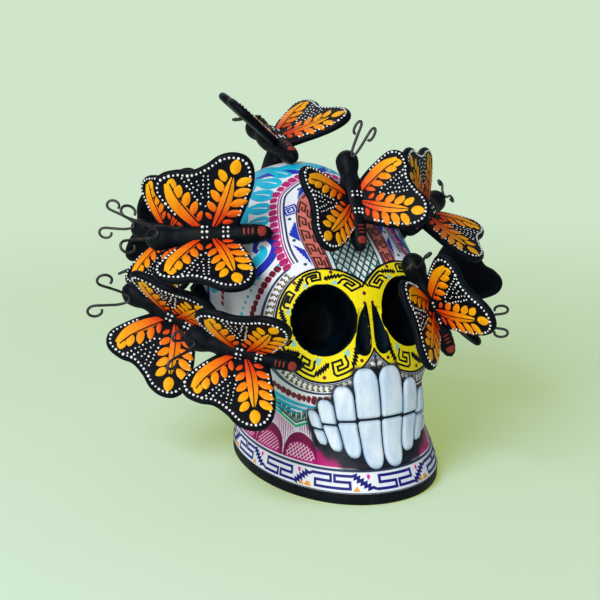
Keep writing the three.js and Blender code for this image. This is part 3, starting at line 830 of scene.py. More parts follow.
def row_spots(line, rays, spacing, outward=1.6, size=1.0):
    """Spots for a row of small shapes that lie evenly along a line once it is on the skull. Each points away
    from the line, to its left."""
    dense = resampled(line, 300)
    run = run_along(laid(*rays(dense), 0.0)[0])
    flat = picked(np.linspace(0, run[-1], round(run[-1] / spacing)), run, dense)
    places, facings = laid(*rays(flat), 0.02)
    ahead, _ = laid(*rays(offset_line(flat, outward)), 0.02)
    return [(place, facing, further - place, size) for place, facing, further in zip(places, facings, ahead)]


petal_spots = []
for side, word in both_sides:
    rays = eye_rays(side)
    turns = np.linspace(0, 360, 301)
    film(f"{word}_eye_yellow", [between(ring_point(turns, 0.0), ring_point(turns, 1.0), 14)], rays, 0.09,
         yellow)
    frets, corners, dots = [], [], [dot(ring_point([158], 0.72)[0], 0.8, 0.12)]
    for start in np.arange(fret_count) * fret_span + first_fret:
        for pairs in (fret_zigzag, fret_hook):
            line = fine_line([(start + t * fret_span, share) for t, share in pairs])
            frets.append(stroke(ring_point(line[:, 0], line[:, 1]), 0.98, step=1.2))
        dots.append(dot(ring_point([start + 6], 0.8)[0], 0.85, 0.12))
        left, top, right = ring_point([start + 9, start + 15, start + 21], [0.08, 0.4, 0.08])
        corners.append(between(resampled([left, top], 6), resampled([right, top], 6), 3))
    frets.append(stroke(ring_point(np.linspace(206, 500, 241), 1.0), 0.9, step=1.2))
    film(f"{word}_eye_frets", frets, rays, 0.15, ink)
    film(f"{word}_eye_dots", dots, rays, 0.16, maroon)
    film(f"{word}_eye_corners", corners, rays, 0.14, turquoise_pale)
    band = -np.linspace(-60, 152, 131)
    film(f"{word}_eye_band", [between(ring_point(band, 1.5), ring_point(band, 5.6), 3)], rays, 0.05,
         ground_film)
    lines = [stroke(ring_point(band, beyond), width, step=1.2)
             for beyond, width in ((5.9, 0.85), (1.9, 0.45))]
    film(f"{word}_eye_band_lines", lines, rays, 0.15, navy)
    zigzags = []
    for turn in -np.arange(-56, 150, 5.6):
        turns = turn - np.array([0, 3.4, 1.6, 4.4, 1.2])
        zigzags.append(stroke(ring_point(turns, [2.6, 2.6, 3.8, 4.8, 4.8]), 0.62, step=1))
    film(f"{word}_eye_band_zigzag", zigzags, rays, 0.12, olive)
    petal_spots += row_spots(ring_point(-np.linspace(-52, 110, 200), 9.0), rays, 3.05, -1.5)


def finish_tree(tree, shapes, finish, name):
    """Ends a tree: its shapes are made real, get their paint and are handed out."""
    whole = put(tree, "GeometryNodeRealizeInstances", {"Geometry": shapes})
    coated = put(tree, "GeometryNodeSetMaterial", {"Geometry": whole.outputs["Geometry"], "Material": finish})
    put(tree, "NodeGroupOutput", {name: coated.outputs["Geometry"]})
    return tree


def row_tree():
    """A node tree that puts a small shape on every point, facing out and pointing along."""
    tree = bpy.data.node_groups.new("shapes_on_points", "GeometryNodeTree")
    sockets(tree, [("Points", "Geometry"), ("Shape", "Object"), ("Finish", "Material"),
                   ("Size", "Float", 1.0), ("Uneven", "Float", 0.1), ("Seed", "Int", 3)],
            [("Shapes", "Geometry")])
    given = put(tree, "NodeGroupInput").outputs
    facing, along, size = (
        put(tree, "GeometryNodeInputNamedAttribute", {"Name": name}, data_type=kind).outputs["Attribute"]
        for name, kind in (("facing", "FLOAT_VECTOR"), ("along", "FLOAT_VECTOR"), ("size", "FLOAT")))
    shape = put(tree, "GeometryNodeObjectInfo", {"Object": given["Shape"]})
    upright = put(tree, "FunctionNodeAlignRotationToVector", {"Vector": facing}, axis="Z")
    pointed = put(tree, "FunctionNodeAlignRotationToVector",
                  {"Rotation": upright.outputs["Rotation"], "Vector": along}, axis="Y", pivot_axis="Z")
    uneven = put(tree, "FunctionNodeRandomValue", {2: maths(tree, "SUBTRACT", 1, given["Uneven"]),
                                                   3: maths(tree, "ADD", 1, given["Uneven"]),
                                                   "Seed": given["Seed"]})
    grown = maths(tree, "MULTIPLY", size, uneven.outputs[1])
    placed = put(tree, "GeometryNodeInstanceOnPoints", {
        "Points": given["Points"], "Instance": shape.outputs["Geometry"],
        "Rotation": pointed.outputs["Rotation"],
        "Scale": maths(tree, "MULTIPLY", grown, given["Size"])})
    return finish_tree(tree, placed.outputs["Instances"], given["Finish"], "Shapes")


rows_of_shapes = row_tree()


def run_tree(thing, tree, values):
    """thing with a node tree run on it, as a plain mesh. values go to the tree's inputs by name."""
    modifier = thing.modifiers.new(tree.name, "NODES")
    modifier.node_group = tree
    for item in tree.interface.items_tree:
        if item.in_out == "INPUT" and item.name in values:
            modifier[item.identifier] = values[item.name]
    return settled(thing)


def blob(name, outline, height, sink=0.12):
    """A small raised shape of paint on the XY plane, in millimetres, that is used again and again."""
    rings = [np.column_stack([outline * share, np.full(len(outline), rise * height - sink)])
             for share, rise in ((1, 0), (0.88, 0.6), (0.5, 0.95))]
    points, faces = closed_rings(rings)
    shape = mesh_object(name, points, [face for face in faces if len(points) - 2 not in face], ink)
    scene.collection.objects.unlink(shape)
    return shape


def scattered(name, spots, shape, material, size=1.0, uneven=0.12, seed=3, soot=True):
    """One piece made of a small shape on every spot, which is a place, a facing, a heading and a size."""
    mesh = bpy.data.meshes.new(name)
    mesh.from_pydata([tuple(np.asarray(spot[0]) * mm) for spot in spots], [], [])
    for n, key in ((1, "facing"), (2, "along")):
        values = np.array([spot[n] for spot in spots], float).ravel()
        mesh.attributes.new(key, "FLOAT_VECTOR", "POINT").data.foreach_set("vector", values.tolist())
    sizes = [float(spot[3]) for spot in spots]
    mesh.attributes.new("size", "FLOAT", "POINT").data.foreach_set("value", sizes)
    thing = bpy.data.objects.new(name, mesh)
    scene.collection.objects.link(thing)
    run_tree(thing, rows_of_shapes, {"Shape": shape, "Finish": material, "Size": size, "Uneven": uneven,
                                     "Seed": seed})
    if soot:
        shade(thing, soot_at(places_in(thing.data.vertices, "co")))
    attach(thing, "root")


def soft_box(half_width, half_length, count):
    """An outline between an oval and a box."""
    turn = full_turn(count)
    return np.column_stack([half * np.sign(wave) * np.abs(wave) ** 0.6
                            for half, wave in ((half_width, np.cos(turn)), (half_length, np.sin(turn)))])


scattered("ring_petals", petal_spots, blob("petal", soft_box(1.42, 2.2, 14), 0.4), maroon)

nose_line = [(1.2, 11.6), (2.9, 9.6), (4.9, 5.6), (6.6, 0.3), (8.0, -4.8), (7.8, -8.8), (5.2, -10.9),
             (2.4, -10.2), (0.85, -6.4), (0.75, 0), (0.85, 6.5), (1.2, 11.6)]
nose_growth = 1.03
front_rays = turned_rays(0, eye_pitch, (0, -41, nose_height))
for side, word in both_sides:
    rim = smooth(nose_line, 121) * [side * nose_growth, nose_growth]
    film(f"{word}_nose_black", [between(rim[:61], rim[120:59:-1], 14)], front_rays, 0.3, socket_black)
film("bridge_dot", [dot((-1.2, 16.2), 0.9, 0.12)], front_rays, 0.16, maroon)

# Forehead
# A painted arch frames the forehead: a salmon band of frets round a green lattice, then a white band with
# blue steps and a square spiral, a double dark line and an outer row of magenta petals.
brow_rays = turned_rays(0, math.radians(50), (0, -20, 103))

salmon = paint("salmon_paint", (0.66, 0.17, 0.13), (0.5, 0.1, 0.08), rubbed=(0.85, 0.6, 0.55))
fret_brown = paint("fret_brown", (0.035, 0.012, 0.012), (0.09, 0.02, 0.02), rubbed=(0.3, 0.15, 0.12))
lattice_green = paint("lattice_green", (0.0, 0.085, 0.055), (0.0, 0.14, 0.09), rubbed=(0.3, 0.45, 0.4))
squiggle_green = paint("pale_grey_green", (0.42, 0.52, 0.5), (0.3, 0.42, 0.4))
royal_blue = paint("royal_blue", (0.012, 0.035, 0.5), (0.008, 0.02, 0.3), rubbed=(0.2, 0.25, 0.6), wash=0.7)
magenta = paint("magenta_paint", (0.48, 0.012, 0.16), (0.32, 0.01, 0.1), rubbed=(0.7, 0.3, 0.5))
bright_pink = paint("bright_pink", (0.75, 0.02, 0.3), (0.6, 0.015, 0.22), rubbed=(0.85, 0.5, 0.7))
turquoise = paint("turquoise_paint", (0.008, 0.55, 0.76), (0.002, 0.35, 0.62), rubbed=(0.25, 0.7, 0.82),
                  wash=0.7, stroke=150)

# Each line is drawn for one half, from its foot to the middle of the forehead.
arch_half = [(25.4, 1.0), (25.5, 7.9), (24.9, 15.7), (23.1, 24.7), (20.8, 33.9), (17.9, 41), (14.1, 44.4),
             (9.8, 46.8), (4.6, 48.8), (0, 49.5)]
salmon_outer_half = [(19.6, -6.4), (19.8, 4), (19.8, 12), (18.6, 22), (16.4, 30), (13.2, 36.5), (8.2, 40.6),
                     (0, 42.4)]
salmon_inner_half = [(12.6, -7.6), (12.5, 4), (12.3, 12), (11.7, 20), (10.2, 26.5), (7.4, 31.4), (3.8, 34.4),
                     (0, 35.4)]
panel_half = np.array([(0, -16.4), (10.4, -7.6), (10.5, 12), (9.8, 19.5), (8.2, 25.5), (5, 30), (0, 32)])
brow_fret = [[(0, 0.14), (0.9, 0.14), (0.9, 0.52), (0.34, 0.52), (0.34, 0.32), (0.62, 0.32)],
             [(1, 0.88), (0.1, 0.88), (0.1, 0.68), (0.7, 0.68)]]
brow_fret_count = 13
# Start along the arch, length and way up or down of each blue step, then the green dots' places.
brow_steps = ((0.02, 0.085, 1), (0.15, 0.1, -1), (0.37, 0.06, 1), (0.44, 0.09, -1))
brow_dots = (0.005, 0.135, 0.245, 0.405)
square_spiral = 1.2 * np.array([(-2.2, 2.1), (2.1, 2.1), (2.1, -2.1), (-2.1, -2.1), (-2.1, 1.1), (1.1, 1.1),
                                (1.1, -1.1), (-1.1, -1.1), (-1.1, 0.2), (0.2, 0.2)])
spiral_middle = (18.2, 32.4)
squiggle = [[-0.6, 0.3], [0.1, 0.75], [0.35, 0.0], [-0.2, -0.35], [0.4, -0.8]]


def whole_arch(half, count=160):
    half = np.array(half, float)
    return smooth(np.vstack([half * [-1, 1], half[-2::-1]]), count)


def between_lines(first, second):
    """A rule that gives the place at a share along and a share across two lines."""
    def place(pairs):
        pairs = np.asarray(pairs, float)
        along = np.clip(pairs[:, 0], 0, 1) * (len(first) - 1)
        ends = [picked(along, np.arange(len(line)), line) for line in (first, second)]
        return ends[0] + (ends[1] - ends[0]) * pairs[:, 1:2]
    return place


def inside_outline(points, outline):
    """Which points lie inside a closed outline."""
    x, y = points[:, :1], points[:, 1:2]
    a, b = outline, np.roll(outline, -1, axis=0)
    with np.errstate(divide="ignore", invalid="ignore"):
        meets = (b[:, 0] - a[:, 0]) * (y - a[:, 1]) / (b[:, 1] - a[:, 1]) + a[:, 0]
        crossing = ((a[:, 1] > y) != (b[:, 1] > y)) & (x < meets)
    return crossing.sum(1) % 2 == 1


def hatching(outline, slope, spacing, width):
    """Parallel brush lines across the inside of an outline. slope is their angle in degrees."""
    way = np.array([math.cos(math.radians(slope)), math.sin(math.radians(slope))])
    aside = np.array([-way[1], way[0]])
    middle, reach = outline.mean(0), np.linalg.norm(outline - outline.mean(0), axis=1).max()
    lines = []
    for off in np.arange(-reach, reach, spacing):
        run = middle + aside * off + way * np.arange(-reach, reach, 0.35)[:, None]
        kept = run[inside_outline(run, outline)]
        if len(kept) > 3:
            lines.append(stroke(resampled([kept[0], kept[-1]], 3), width))
    return lines


arch = whole_arch(arch_half)
salmon_outer, salmon_inner = whole_arch(salmon_outer_half), whole_arch(salmon_inner_half)
film("brow_salmon", [between(salmon_outer, salmon_inner, 7)], brow_rays, 0.08, salmon)

salmon_place = between_lines(salmon_outer, salmon_inner)
hooks = []
for n in range(brow_fret_count):
    start, span = (n + 0.08) / brow_fret_count, 0.86 / brow_fret_count
    for hook in brow_fret:
        line = fine_line([(start + t * span, share) for t, share in hook], 4)
        hooks.append(stroke(salmon_place(line), 0.85, step=1.2))
film("brow_frets", hooks, brow_rays, 0.14, fret_brown)
edges = [stroke(line, width, step=1.2) for line, width in (
    (salmon_outer, 0.5), (salmon_inner, 0.5), (arch, 0.85), (offset_line(arch, 1.5), 0.5))]
film("brow_lines", edges, brow_rays, 0.15, navy)

panel = np.vstack([panel_half, panel_half[-2:0:-1] * [-1, 1]])
lattice = hatching(panel, 57, 2.85, 0.8) + hatching(panel, 123, 2.85, 0.8)
lattice.append(stroke(panel, 0.85, closed=True))
film("brow_lattice", lattice, brow_rays, 0.12, lattice_green)
squiggles = []
for column in range(-4, 5):
    for row in range(-6, 12):
        middle = np.array([column * 2.98 + (row % 2) * 1.49, row * 2.3 - 2.4])
        if inside_outline(middle[None] * 1.12, panel)[0]:
            squiggles.append(stroke(middle + squiggle, 0.34))
film("brow_squiggles", squiggles, brow_rays, 0.1, squiggle_green)

step_place = between_lines(salmon_outer, arch)
steps, dots = [], []
for start, span, way in brow_steps:
    t = np.linspace(0, 1, 40)
    grown = np.floor(t * 7) / 7 if way > 0 else 1 - np.floor(t * 7) / 7
    jag = 0.16 + 0.66 * grown + 0.05 * np.sin(t * 88)
    for along in (start + span * t, 1 - (start + span * t)):
        foot, top = (step_place(np.column_stack([along, share])) for share in (np.full(40, 0.1), jag))
        steps.append(between(foot, top, 4))
for at in brow_dots:
    dots += [dot(step_place([(along, 0.58)])[0], 0.8, 0.12) for along in (at, 1 - at)]
for side in (-1, 1):
    steps.append(stroke(spiral_middle * np.array([side, 1]) + square_spiral * [-side, 1], 0.78))
film("brow_steps", steps, brow_rays, 0.1, royal_blue)
film("brow_dots", dots, brow_rays, 0.14, lattice_green)
film("brow_pink_line", [stroke(offset_line(arch, 2.5), 0.6, step=1.2)], brow_rays, 0.12, bright_pink)

square_petal = blob("square_petal", soft_box(1.6, 1.75, 16), 0.35)
scattered("brow_petals", row_spots(offset_line(arch, 4.6), brow_rays, 3.7), square_petal, magenta, size=1.18,
          seed=5)

# Temples and crown
# Above the arch the ground is left white, with fat turquoise leaves, a big royal blue curl over each temple
# and a blue sweep over the crown, then sprays of the same leaves round the sides and back.
temple_turn, temple_rise, temple_middle = math.radians(-65), math.radians(30), (-35, 5, 105)
# Foot, tip and width of each leaf that has a vein.
temple_leaves = (((-9.6, 39.5), (-27, 40.2), 6.4), ((-9.4, 33.0), (-27, 32.5), 7.2),
                 ((-8.0, 26.0), (-25, 24.6), 7.4), ((-5.0, 19.4), (-20, 16.2), 7.0),
                 ((-1.6, 13.4), (-13.5, 8.2), 6.4))
temple_sprig = [(-3, -12), (2.6, -7.5), (4.6, -3.0), (1.4, 0.2)]
temple_wash = [(-22, 44), (-24, 36), (-23, 28), (-20, 20), (-14, 12), (-12, 6)]
temple_curl = [(-4, -21), (4.5, -14), (9.8, -5.5), (8.8, 1.8), (3.4, 4.6), (-0.8, 2.4), (-1.0, -2.0),
               (1.6, -3.2)]
crown_sweep = [(-30, 35), (-22, 38.6), (-14, 41.2), (-8, 43.4), (-4, 48.5)]
small_dots = np.array([(13.2, 0.6), (15.6, -3.0), (15.8, -7.2), (14.6, -11.2), (10.2, 4.6), (6.6, 8.4),
                       (13.4, -15.2)])
small_dot_size, small_dot_heading = 1.9, np.array([0.3, 0.2, 1])


def hook_line(points, width, count=40):
    """A fat curl that thins out towards its end."""
    return stroke(smooth(points, count), lambda t: width * (1 - 0.55 * t ** 2) * np.minimum(1, 5 * t + 0.35),
                  across=4, rise=0.1)


oval = blob("oval", oval_ring(0.42, 0.62, 10)[:, :2], 0.12, 0.05)
for side, word in both_sides:
    rays = turned_rays(temple_turn, temple_rise, temple_middle, -side)
    leaves = [leaf(foot, tip, width, 0.72, 0.1) for foot, tip, width in temple_leaves]
    leaves.append(leaf((-25, 41), (-7, 49.5), 7.0, 1.0, 0.1))
    leaves.append(stroke(smooth(temple_sprig, 20), lambda t: 5.6 * np.sin(math.pi * t) ** 0.6, across=4))
    wash = smooth(temple_wash, 30)
    leaves.append(between(wash, wash + np.column_stack([np.linspace(-20, -9, 30), np.zeros(30)]), 14))
    film(f"{word}_temple_leaves", leaves, rays, 0.07, turquoise)
    veins = []
    for foot, tip, _ in temple_leaves:
        vein = smooth([foot, (np.array(foot) + tip) / 2 + [0.3, 0.5], tip], 14)[2:-4]
        veins.append(stroke(vein, lambda t: 0.5 * (1 - t) + 0.15))
    film(f"{word}_temple_veins", veins, rays, 0.2, ground_film)
    sweep = stroke(smooth(crown_sweep, 40), lambda t: 3.9 * np.sin(math.pi * (0.1 + 0.85 * t)), across=4)
    film(f"{word}_temple_curls", [hook_line(temple_curl, 4.9), sweep], rays, 0.12, royal_blue)
    spots = [(place, facing, small_dot_heading, small_dot_size)
             for place, facing in zip(*laid(*rays(small_dots), 0.0))]
    spots += row_spots(ring_point(np.linspace(38, -50, 60), 12.6), eye_rays(side), 3.4, size=small_dot_size)
    scattered(f"{word}_temple_dots", spots, oval, turquoise, uneven=0.2, seed=9)


def round_line(reach, turns):
    return [(reach * math.cos(turn), reach * math.sin(turn)) for turn in turns]


def spray(middle, lean, scale):
    """Leaves, two curls and a row of petals round them, as used over the sides and the back."""
    spin = rotation(0, -lean)[1:, 1:] * scale

    def place(points):
        return np.asarray(points, float) @ spin + middle

    leaves = [leaf(*place(round_line(7, [a]) + round_line(19, [a + 0.15])), 6.0 * scale, 0.75, 0.1)
              for a in np.linspace(-0.3, 3.4, 7)]
    fat = place([(-2, -14), (3.5, -8), (5.5, -2), (3.5, 3.4), (-1, 4), (-3, 0.6), (-0.6, -1.4)])
    thin = place([(0, -13.5), (-6.5, -10), (-10, -4), (-8, 0.5), (-5.6, -2.2)])
    row = place(round_line(22.5, np.linspace(-0.4, 3.6, 30)))
    return leaves, [hook_line(fat, 3.8 * scale), hook_line(thin, 2.9 * scale)], row


sprays = []
for side in (-1, 1):
    sprays.append((turned_rays(-math.pi / 2, 0.12, (-40, 44, 78), -side), (2.0, 4.0), 0.1, 1.05))
    sprays.append((turned_rays(-2.4, 0.2, (-20, 90, 82), -side), (0.0, 8.0), -0.1, 0.95))
sprays.append((turned_rays(math.pi, 0.75, (0, 70, 118)), (0.0, 0.0), 0.0, 0.9))
spots = []
for n, (rays, middle, lean, scale) in enumerate(sprays):
    leaves, curls, row = spray(middle, lean, scale)
    film(f"spray_leaves_{n}", leaves, rays, 0.07, turquoise)
    film(f"spray_curls_{n}", curls, rays, 0.12, royal_blue)
    spots += row_spots(row, rays, 3.0)
scattered("spray_petals", spots, square_petal, magenta, size=0.85, seed=8)

# Jaw and foot band
# Round the jaw run magenta scallops with white hatching, pink hatching, a pointed green line with a comb over
# it and turquoise strokes. The rim has a white band with blue frets, magenta drops and orange corners.
jaw_length = jaw_run[-1] - jaw_run[0]
jaw_half = jaw_length / 2
ray_circle = 150


def jaw_rays(flat):
    """Rays for a drawing wrapped round the jaw, by millimetres round from the face's middle, and heights."""
    run = (flat[:, 0] - jaw_run[0]) % jaw_length + jaw_run[0]
    turn = np.interp(run, jaw_run, jaw_turn)
    inwards = np.column_stack([-np.sin(turn), np.cos(turn), np.zeros(len(turn))])
    return np.column_stack([np.zeros(len(turn)), np.full(len(turn), jaw_middle), flat[:, 1]]) \
        - inwards * ray_circle, inwards


def round_jaw(height, width):
    return stroke([(run, height) for run in np.linspace(-jaw_half, jaw_half, 320)], width, step=2)


deep_magenta = paint("deep_magenta", (0.17, 0.003, 0.05), (0.26, 0.006, 0.09), rubbed=(0.6, 0.3, 0.4))
scallop_pink = paint("scallop_magenta", (0.55, 0.004, 0.2), (0.42, 0.004, 0.14), rubbed=(0.8, 0.5, 0.7))
hatch_pink = paint("hatch_pink", (0.62, 0.05, 0.32), (0.68, 0.16, 0.45), rubbed=(0.85, 0.7, 0.8))
comb_green = paint("comb_green", (0.0, 0.1, 0.06), (0.0, 0.15, 0.09), rubbed=(0.4, 0.6, 0.5))
leaf_green = paint("leaf_green", (0.0, 0.52, 0.19), (0.0, 0.4, 0.14), rubbed=(0.5, 0.7, 0.6))
fret_blue = paint("fret_blue", (0.003, 0.005, 0.15), (0.006, 0.012, 0.3), rubbed=(0.25, 0.3, 0.6))
corner_orange = paint("corner_orange", (0.85, 0.36, 0.02), (0.75, 0.25, 0.01), rubbed=(0.9, 0.7, 0.4))

scallop_base, scallop_rise = 15.6, 11.2
scallop_half, scallop_pitch, first_scallop = 10.1, 20.6, 39.6
scallops, hearts, hatches = [], [], []
middles = np.arange(first_scallop, jaw_half - scallop_half * 0.6, scallop_pitch)
t = np.linspace(0.02, math.pi - 0.02, 31)
for middle in np.concatenate([middles, -middles, [jaw_half]]):
    for patches, reach, rise in ((scallops, 1.0, 1.0), (hearts, 0.84, 0.66)):
        rim = np.column_stack([middle - scallop_half * reach * np.cos(t),
                               scallop_base + scallop_rise * rise * np.sin(t) ** 0.8])
        patches.append(between(np.column_stack([rim[:, 0], np.full(31, scallop_base)]), rim, 7))
    outline = np.column_stack([middle - scallop_half * 0.8 * np.cos(t),
                               scallop_base + 0.4 + 6.6 * np.sin(t) ** 0.8])
    hatches += hatching(outline, 38 if middle < 0 else 142, 1.3, 0.3)
    if abs(middle) == first_scallop:
        hatches += hatching(outline, 118 if middle < 0 else 62, 1.7, 0.22)
for side in (-1, 1):
    fade = smooth(np.array([(30.5, 24.5), (24, 21), (18, 18.8), (12, 17.6), (6, 16.6)]) * [side, 1], 30)
    hearts.append(between(fade, np.column_stack([fade[:, 0], np.full(30, scallop_base)]), 5))
scallops.append(round_jaw(16.3, 0.5))
film("jaw_scallops", scallops, jaw_rays, 0.06, deep_magenta)
film("jaw_scallop_hearts", hearts, jaw_rays, 0.1, scallop_pink)
film("jaw_scallop_hatching", hatches, jaw_rays, 0.15, ground_film)

green_line = np.array([(29.5, 34.6), (43.5, 28.7), (60, 34.6), (70, 37.5), (84, 31.5), (98, 37.5),
                       (112, 31.5), (126, 37.5), (140, 31.5), (152, 37.5), (jaw_half, 31.5)])
comb_arch, comb_pitch = [(-1.3, 0), (-0.8, 3.7), (0.7, 3.9), (1.0, 0)], 3.1
hatches, lines, combs = [], [], []
for run in np.arange(27, jaw_half, 1.5):
    top = np.interp(run, green_line[:, 0], green_line[:, 1]) - 1.0
    share = (run - first_scallop) / scallop_pitch
    off = (share - round(share)) * scallop_pitch / scallop_half
    low = scallop_base + scallop_rise * max(1 - off * off, 0) ** 0.4 + 0.6
    if top - low > 1.5:
        hatches += [stroke([(side * run, low), (side * (run + 0.5), top)], lambda t: 0.4 + 0.35 * t)
                    for side in (-1, 1)]
film("jaw_pink_hatching", hatches, jaw_rays, 0.08, hatch_pink)
for side in (-1, 1):
    line = green_line * [side, 1]
    lines.append(stroke(line, 1.05))
    upper = line + [0, 1.7]
    combs.append(stroke(upper, 0.75))
    for a, b in zip(upper[:-1], upper[1:]):
        count = max(int(abs(b[0] - a[0]) / comb_pitch), 1)
        for n in range(count):
            foot = a + (b - a) * (n + 0.5) / count
            combs.append(stroke(foot + comb_arch, 0.72))
            combs.append(leaf(foot + [-0.5, 0.2], foot + [0.35, 3.7], 1.0))
film("jaw_green_line", lines, jaw_rays, 0.12, leaf_green)
film("jaw_comb", combs, jaw_rays, 0.12, comb_green)

# Millimetres beyond the eye ring, and first and last turn round it, of each cheek stroke.
cheek_strokes = ((12.2, -24, -86), (14.1, -27, -80), (15.9, -30, -72), (17.6, -33, -62), (19.2, -35, -52))
for side, word in both_sides:
    strokes = []
    for beyond, first, last in cheek_strokes:
        line = ring_point(np.linspace(first, last, 24), np.linspace(beyond * 0.93, beyond, 24))
        strokes.append(stroke(line, lambda t: 1.5 * np.sin(math.pi * np.clip(t * 0.9 + 0.05, 0, 1)) ** 0.6,
                              across=2, rise=0.08))
    film(f"{word}_cheek_strokes", strokes, eye_rays(side), 0.08, turquoise)

garland, buds, spots = [], [], []
for run in np.arange(84, jaw_half + 1, 15.5):
    for side in (-1, 1):
        foot = np.array([side * run, 45.5])
        for lean, length, width in ((0, 12, 5.2), (-0.75, 9.5, 4.2), (0.75, 9.5, 4.2)):
            way = np.array([math.sin(lean), math.cos(lean)])
            garland.append(leaf(foot + way * 2.2, foot + way * length, width, 0.8, 0.1))
        buds.append(dot(foot, 1.7, 0.15))
        buds.append(stroke(smooth(foot + [(2, -1), (6, 1.5), (10.5, 1.2), (13.5, -1)], 16), 1.1))
film("garland_leaves", garland, jaw_rays, 0.07, turquoise)
film("garland_buds", buds, jaw_rays, 0.12, royal_blue)
for side in (-1, 1):
    edge = np.column_stack([side * np.linspace(76, jaw_half, 27), 60.5 + 1.2 * np.sin(np.arange(27) * 1.2)])
    spots += row_spots(edge, jaw_rays, 3.2, 1.6 * side)
scattered("garland_petals", spots, square_petal, magenta, size=0.95, seed=6)

film("rim_lines", [round_jaw(height, width) for height, width in ((14.5, 1.0), (5.75, 0.35))], jaw_rays, 0.14,
     navy)
rim_base, rim_rise, rim_units, first_unit = 7.1, 5.7, 12, -1.217
unit = jaw_length / rim_units
double_hook = [(0, 0.95), (0.32, 0.95), (0.32, 0.5), (0.06, 0.5), (0.06, 0.05), (0.61, 0.05), (0.61, 0.5),
               (0.38, 0.5), (0.38, 0.93), (0.66, 0.93)]
zigzag = [(0.66, 0.93), (0.71, 1.04), (0.685, 0.76), (0.755, 0.9), (0.73, 0.56), (0.805, 0.72), (0.78, 0.38),
          (0.855, 0.54), (0.83, 0.2), (0.905, 0.36), (0.885, 0.04), (0.95, 0.18), (1.0, 0.05)]


def on_rim(pairs, start, flipped=False):
    """Places on the rim's band, by shares of a unit along it and of the band's height."""
    return np.array([(start + across * unit, rim_base + (1 - share if flipped else share) * rim_rise)
                     for across, share in pairs])


frets, drops, corners = [], [], []
for n in range(rim_units):
    start, flipped = (n + first_unit) * unit, n % 2 == 1
    for pairs in (double_hook, zigzag):
        unevenness = np.random.default_rng(n).uniform(-0.12, 0.12)
        frets.append(stroke(on_rim(pairs, start, flipped) + [0, unevenness], 1.12))
    drop = [(0.75, 1.1), (0.76, 0.7)] if flipped else [(0.9, 1.1), (0.89, 0.7)]
    drops.append(leaf(*on_rim(drop, start), 1.5, 0.7, 0.12))
    for across in (0.8, 0.9) if flipped else (-0.06, 0.7):
        left, right, top = on_rim([(across - 0.05, -0.1), (across + 0.05, -0.12), (across + 0.01, 0.26)],
                                  start)
        corners.append(between(resampled([left, top], 5), resampled([right, top], 5), 2))
film("rim_frets", frets, jaw_rays, 0.12, fret_blue)
film("rim_drops", drops, jaw_rays, 0.12, bright_pink)
film("rim_corners", corners, jaw_rays, 0.1, corner_orange)

# Foot slab
# The skull stands on a flat slab of the same clay, painted black, with its lower edge rounded and a round
# vent through it towards the back. The slab is stuck to the skull's rim with slip.
slab_chamfer, vent_radius, vent_behind = 1.2, 10, 34

soot_black = paint("soot_black", (0.0025, 0.004, 0.006), (0.006, 0.009, 0.014), rubbed=(0.08, 0.07, 0.065),
                   stroke=140, wash=0.6, relief=0.0002, mirror=0.1)


def slab_rings():
    """The slab's outline at each height, from its rounded lower edge to its slightly eased upper one."""
    turn = full_turn(220)
    _, middle, half_length, half_width = slice_at(0.0)
    edge = [(slab_chamfer * (1 - math.sin(t)), slab_chamfer * (1 - math.cos(t)))
            for t in np.linspace(0, math.pi / 2, 6)]
    edge += [(0, slab_thickness - 0.5), (0.15, slab_thickness - 0.1), (0.5, slab_thickness)]
    return [level_ring(middle, oval_reach(half_length, half_width, turn, inset), turn, height)
            for inset, height in edge]


slab = mesh_object("foot_slab_painted", *closed_rings(slab_rings()), soot_black)
vent_rings = [oval_ring(vent_radius, vent_radius, 64, height) + [0, vent_behind, 0] for height in (-5, 12)]
vent = mesh_object("vent", *closed_rings(vent_rings), soot_black)
slab = carved(slab, [vent])
slab.data.materials.clear()
slab.data.materials.append(soot_black)
slab.data.set_sharp_from_angle(angle=math.radians(40))
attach(slab, "root")
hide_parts("foot_slab")

# Butterflies, the body and its stub
# Each butterfly is modelled in clay by hand: a rolled body with a round head, two thick wings and a flared
# stub that holds it off the skull. They are painted all over.
body_length, body_half_width = 60, 6.4
thorax_share, head_share, head_radius_share = 0.43, 0.88, 0.92
body_shares = [(0, 0.14), (0.03, 0.46), (0.13, 0.7), (0.4, 0.86), (0.53, 1), (0.65, 0.95), (0.75, 0.73),
               (0.84, 0.92), (0.92, 0.92), (0.975, 0.58), (1, 0.16)]
body_rings, body_columns = 70, 32
pedestal_half_length, pedestal_half_width = 7.5, 4.6
pedestal_flares = [(0, 0.85), (0.45, 0.8), (0.8, 1.0)]
foot_flares = [(1.22, -0.5), (1.4, 0.6)]

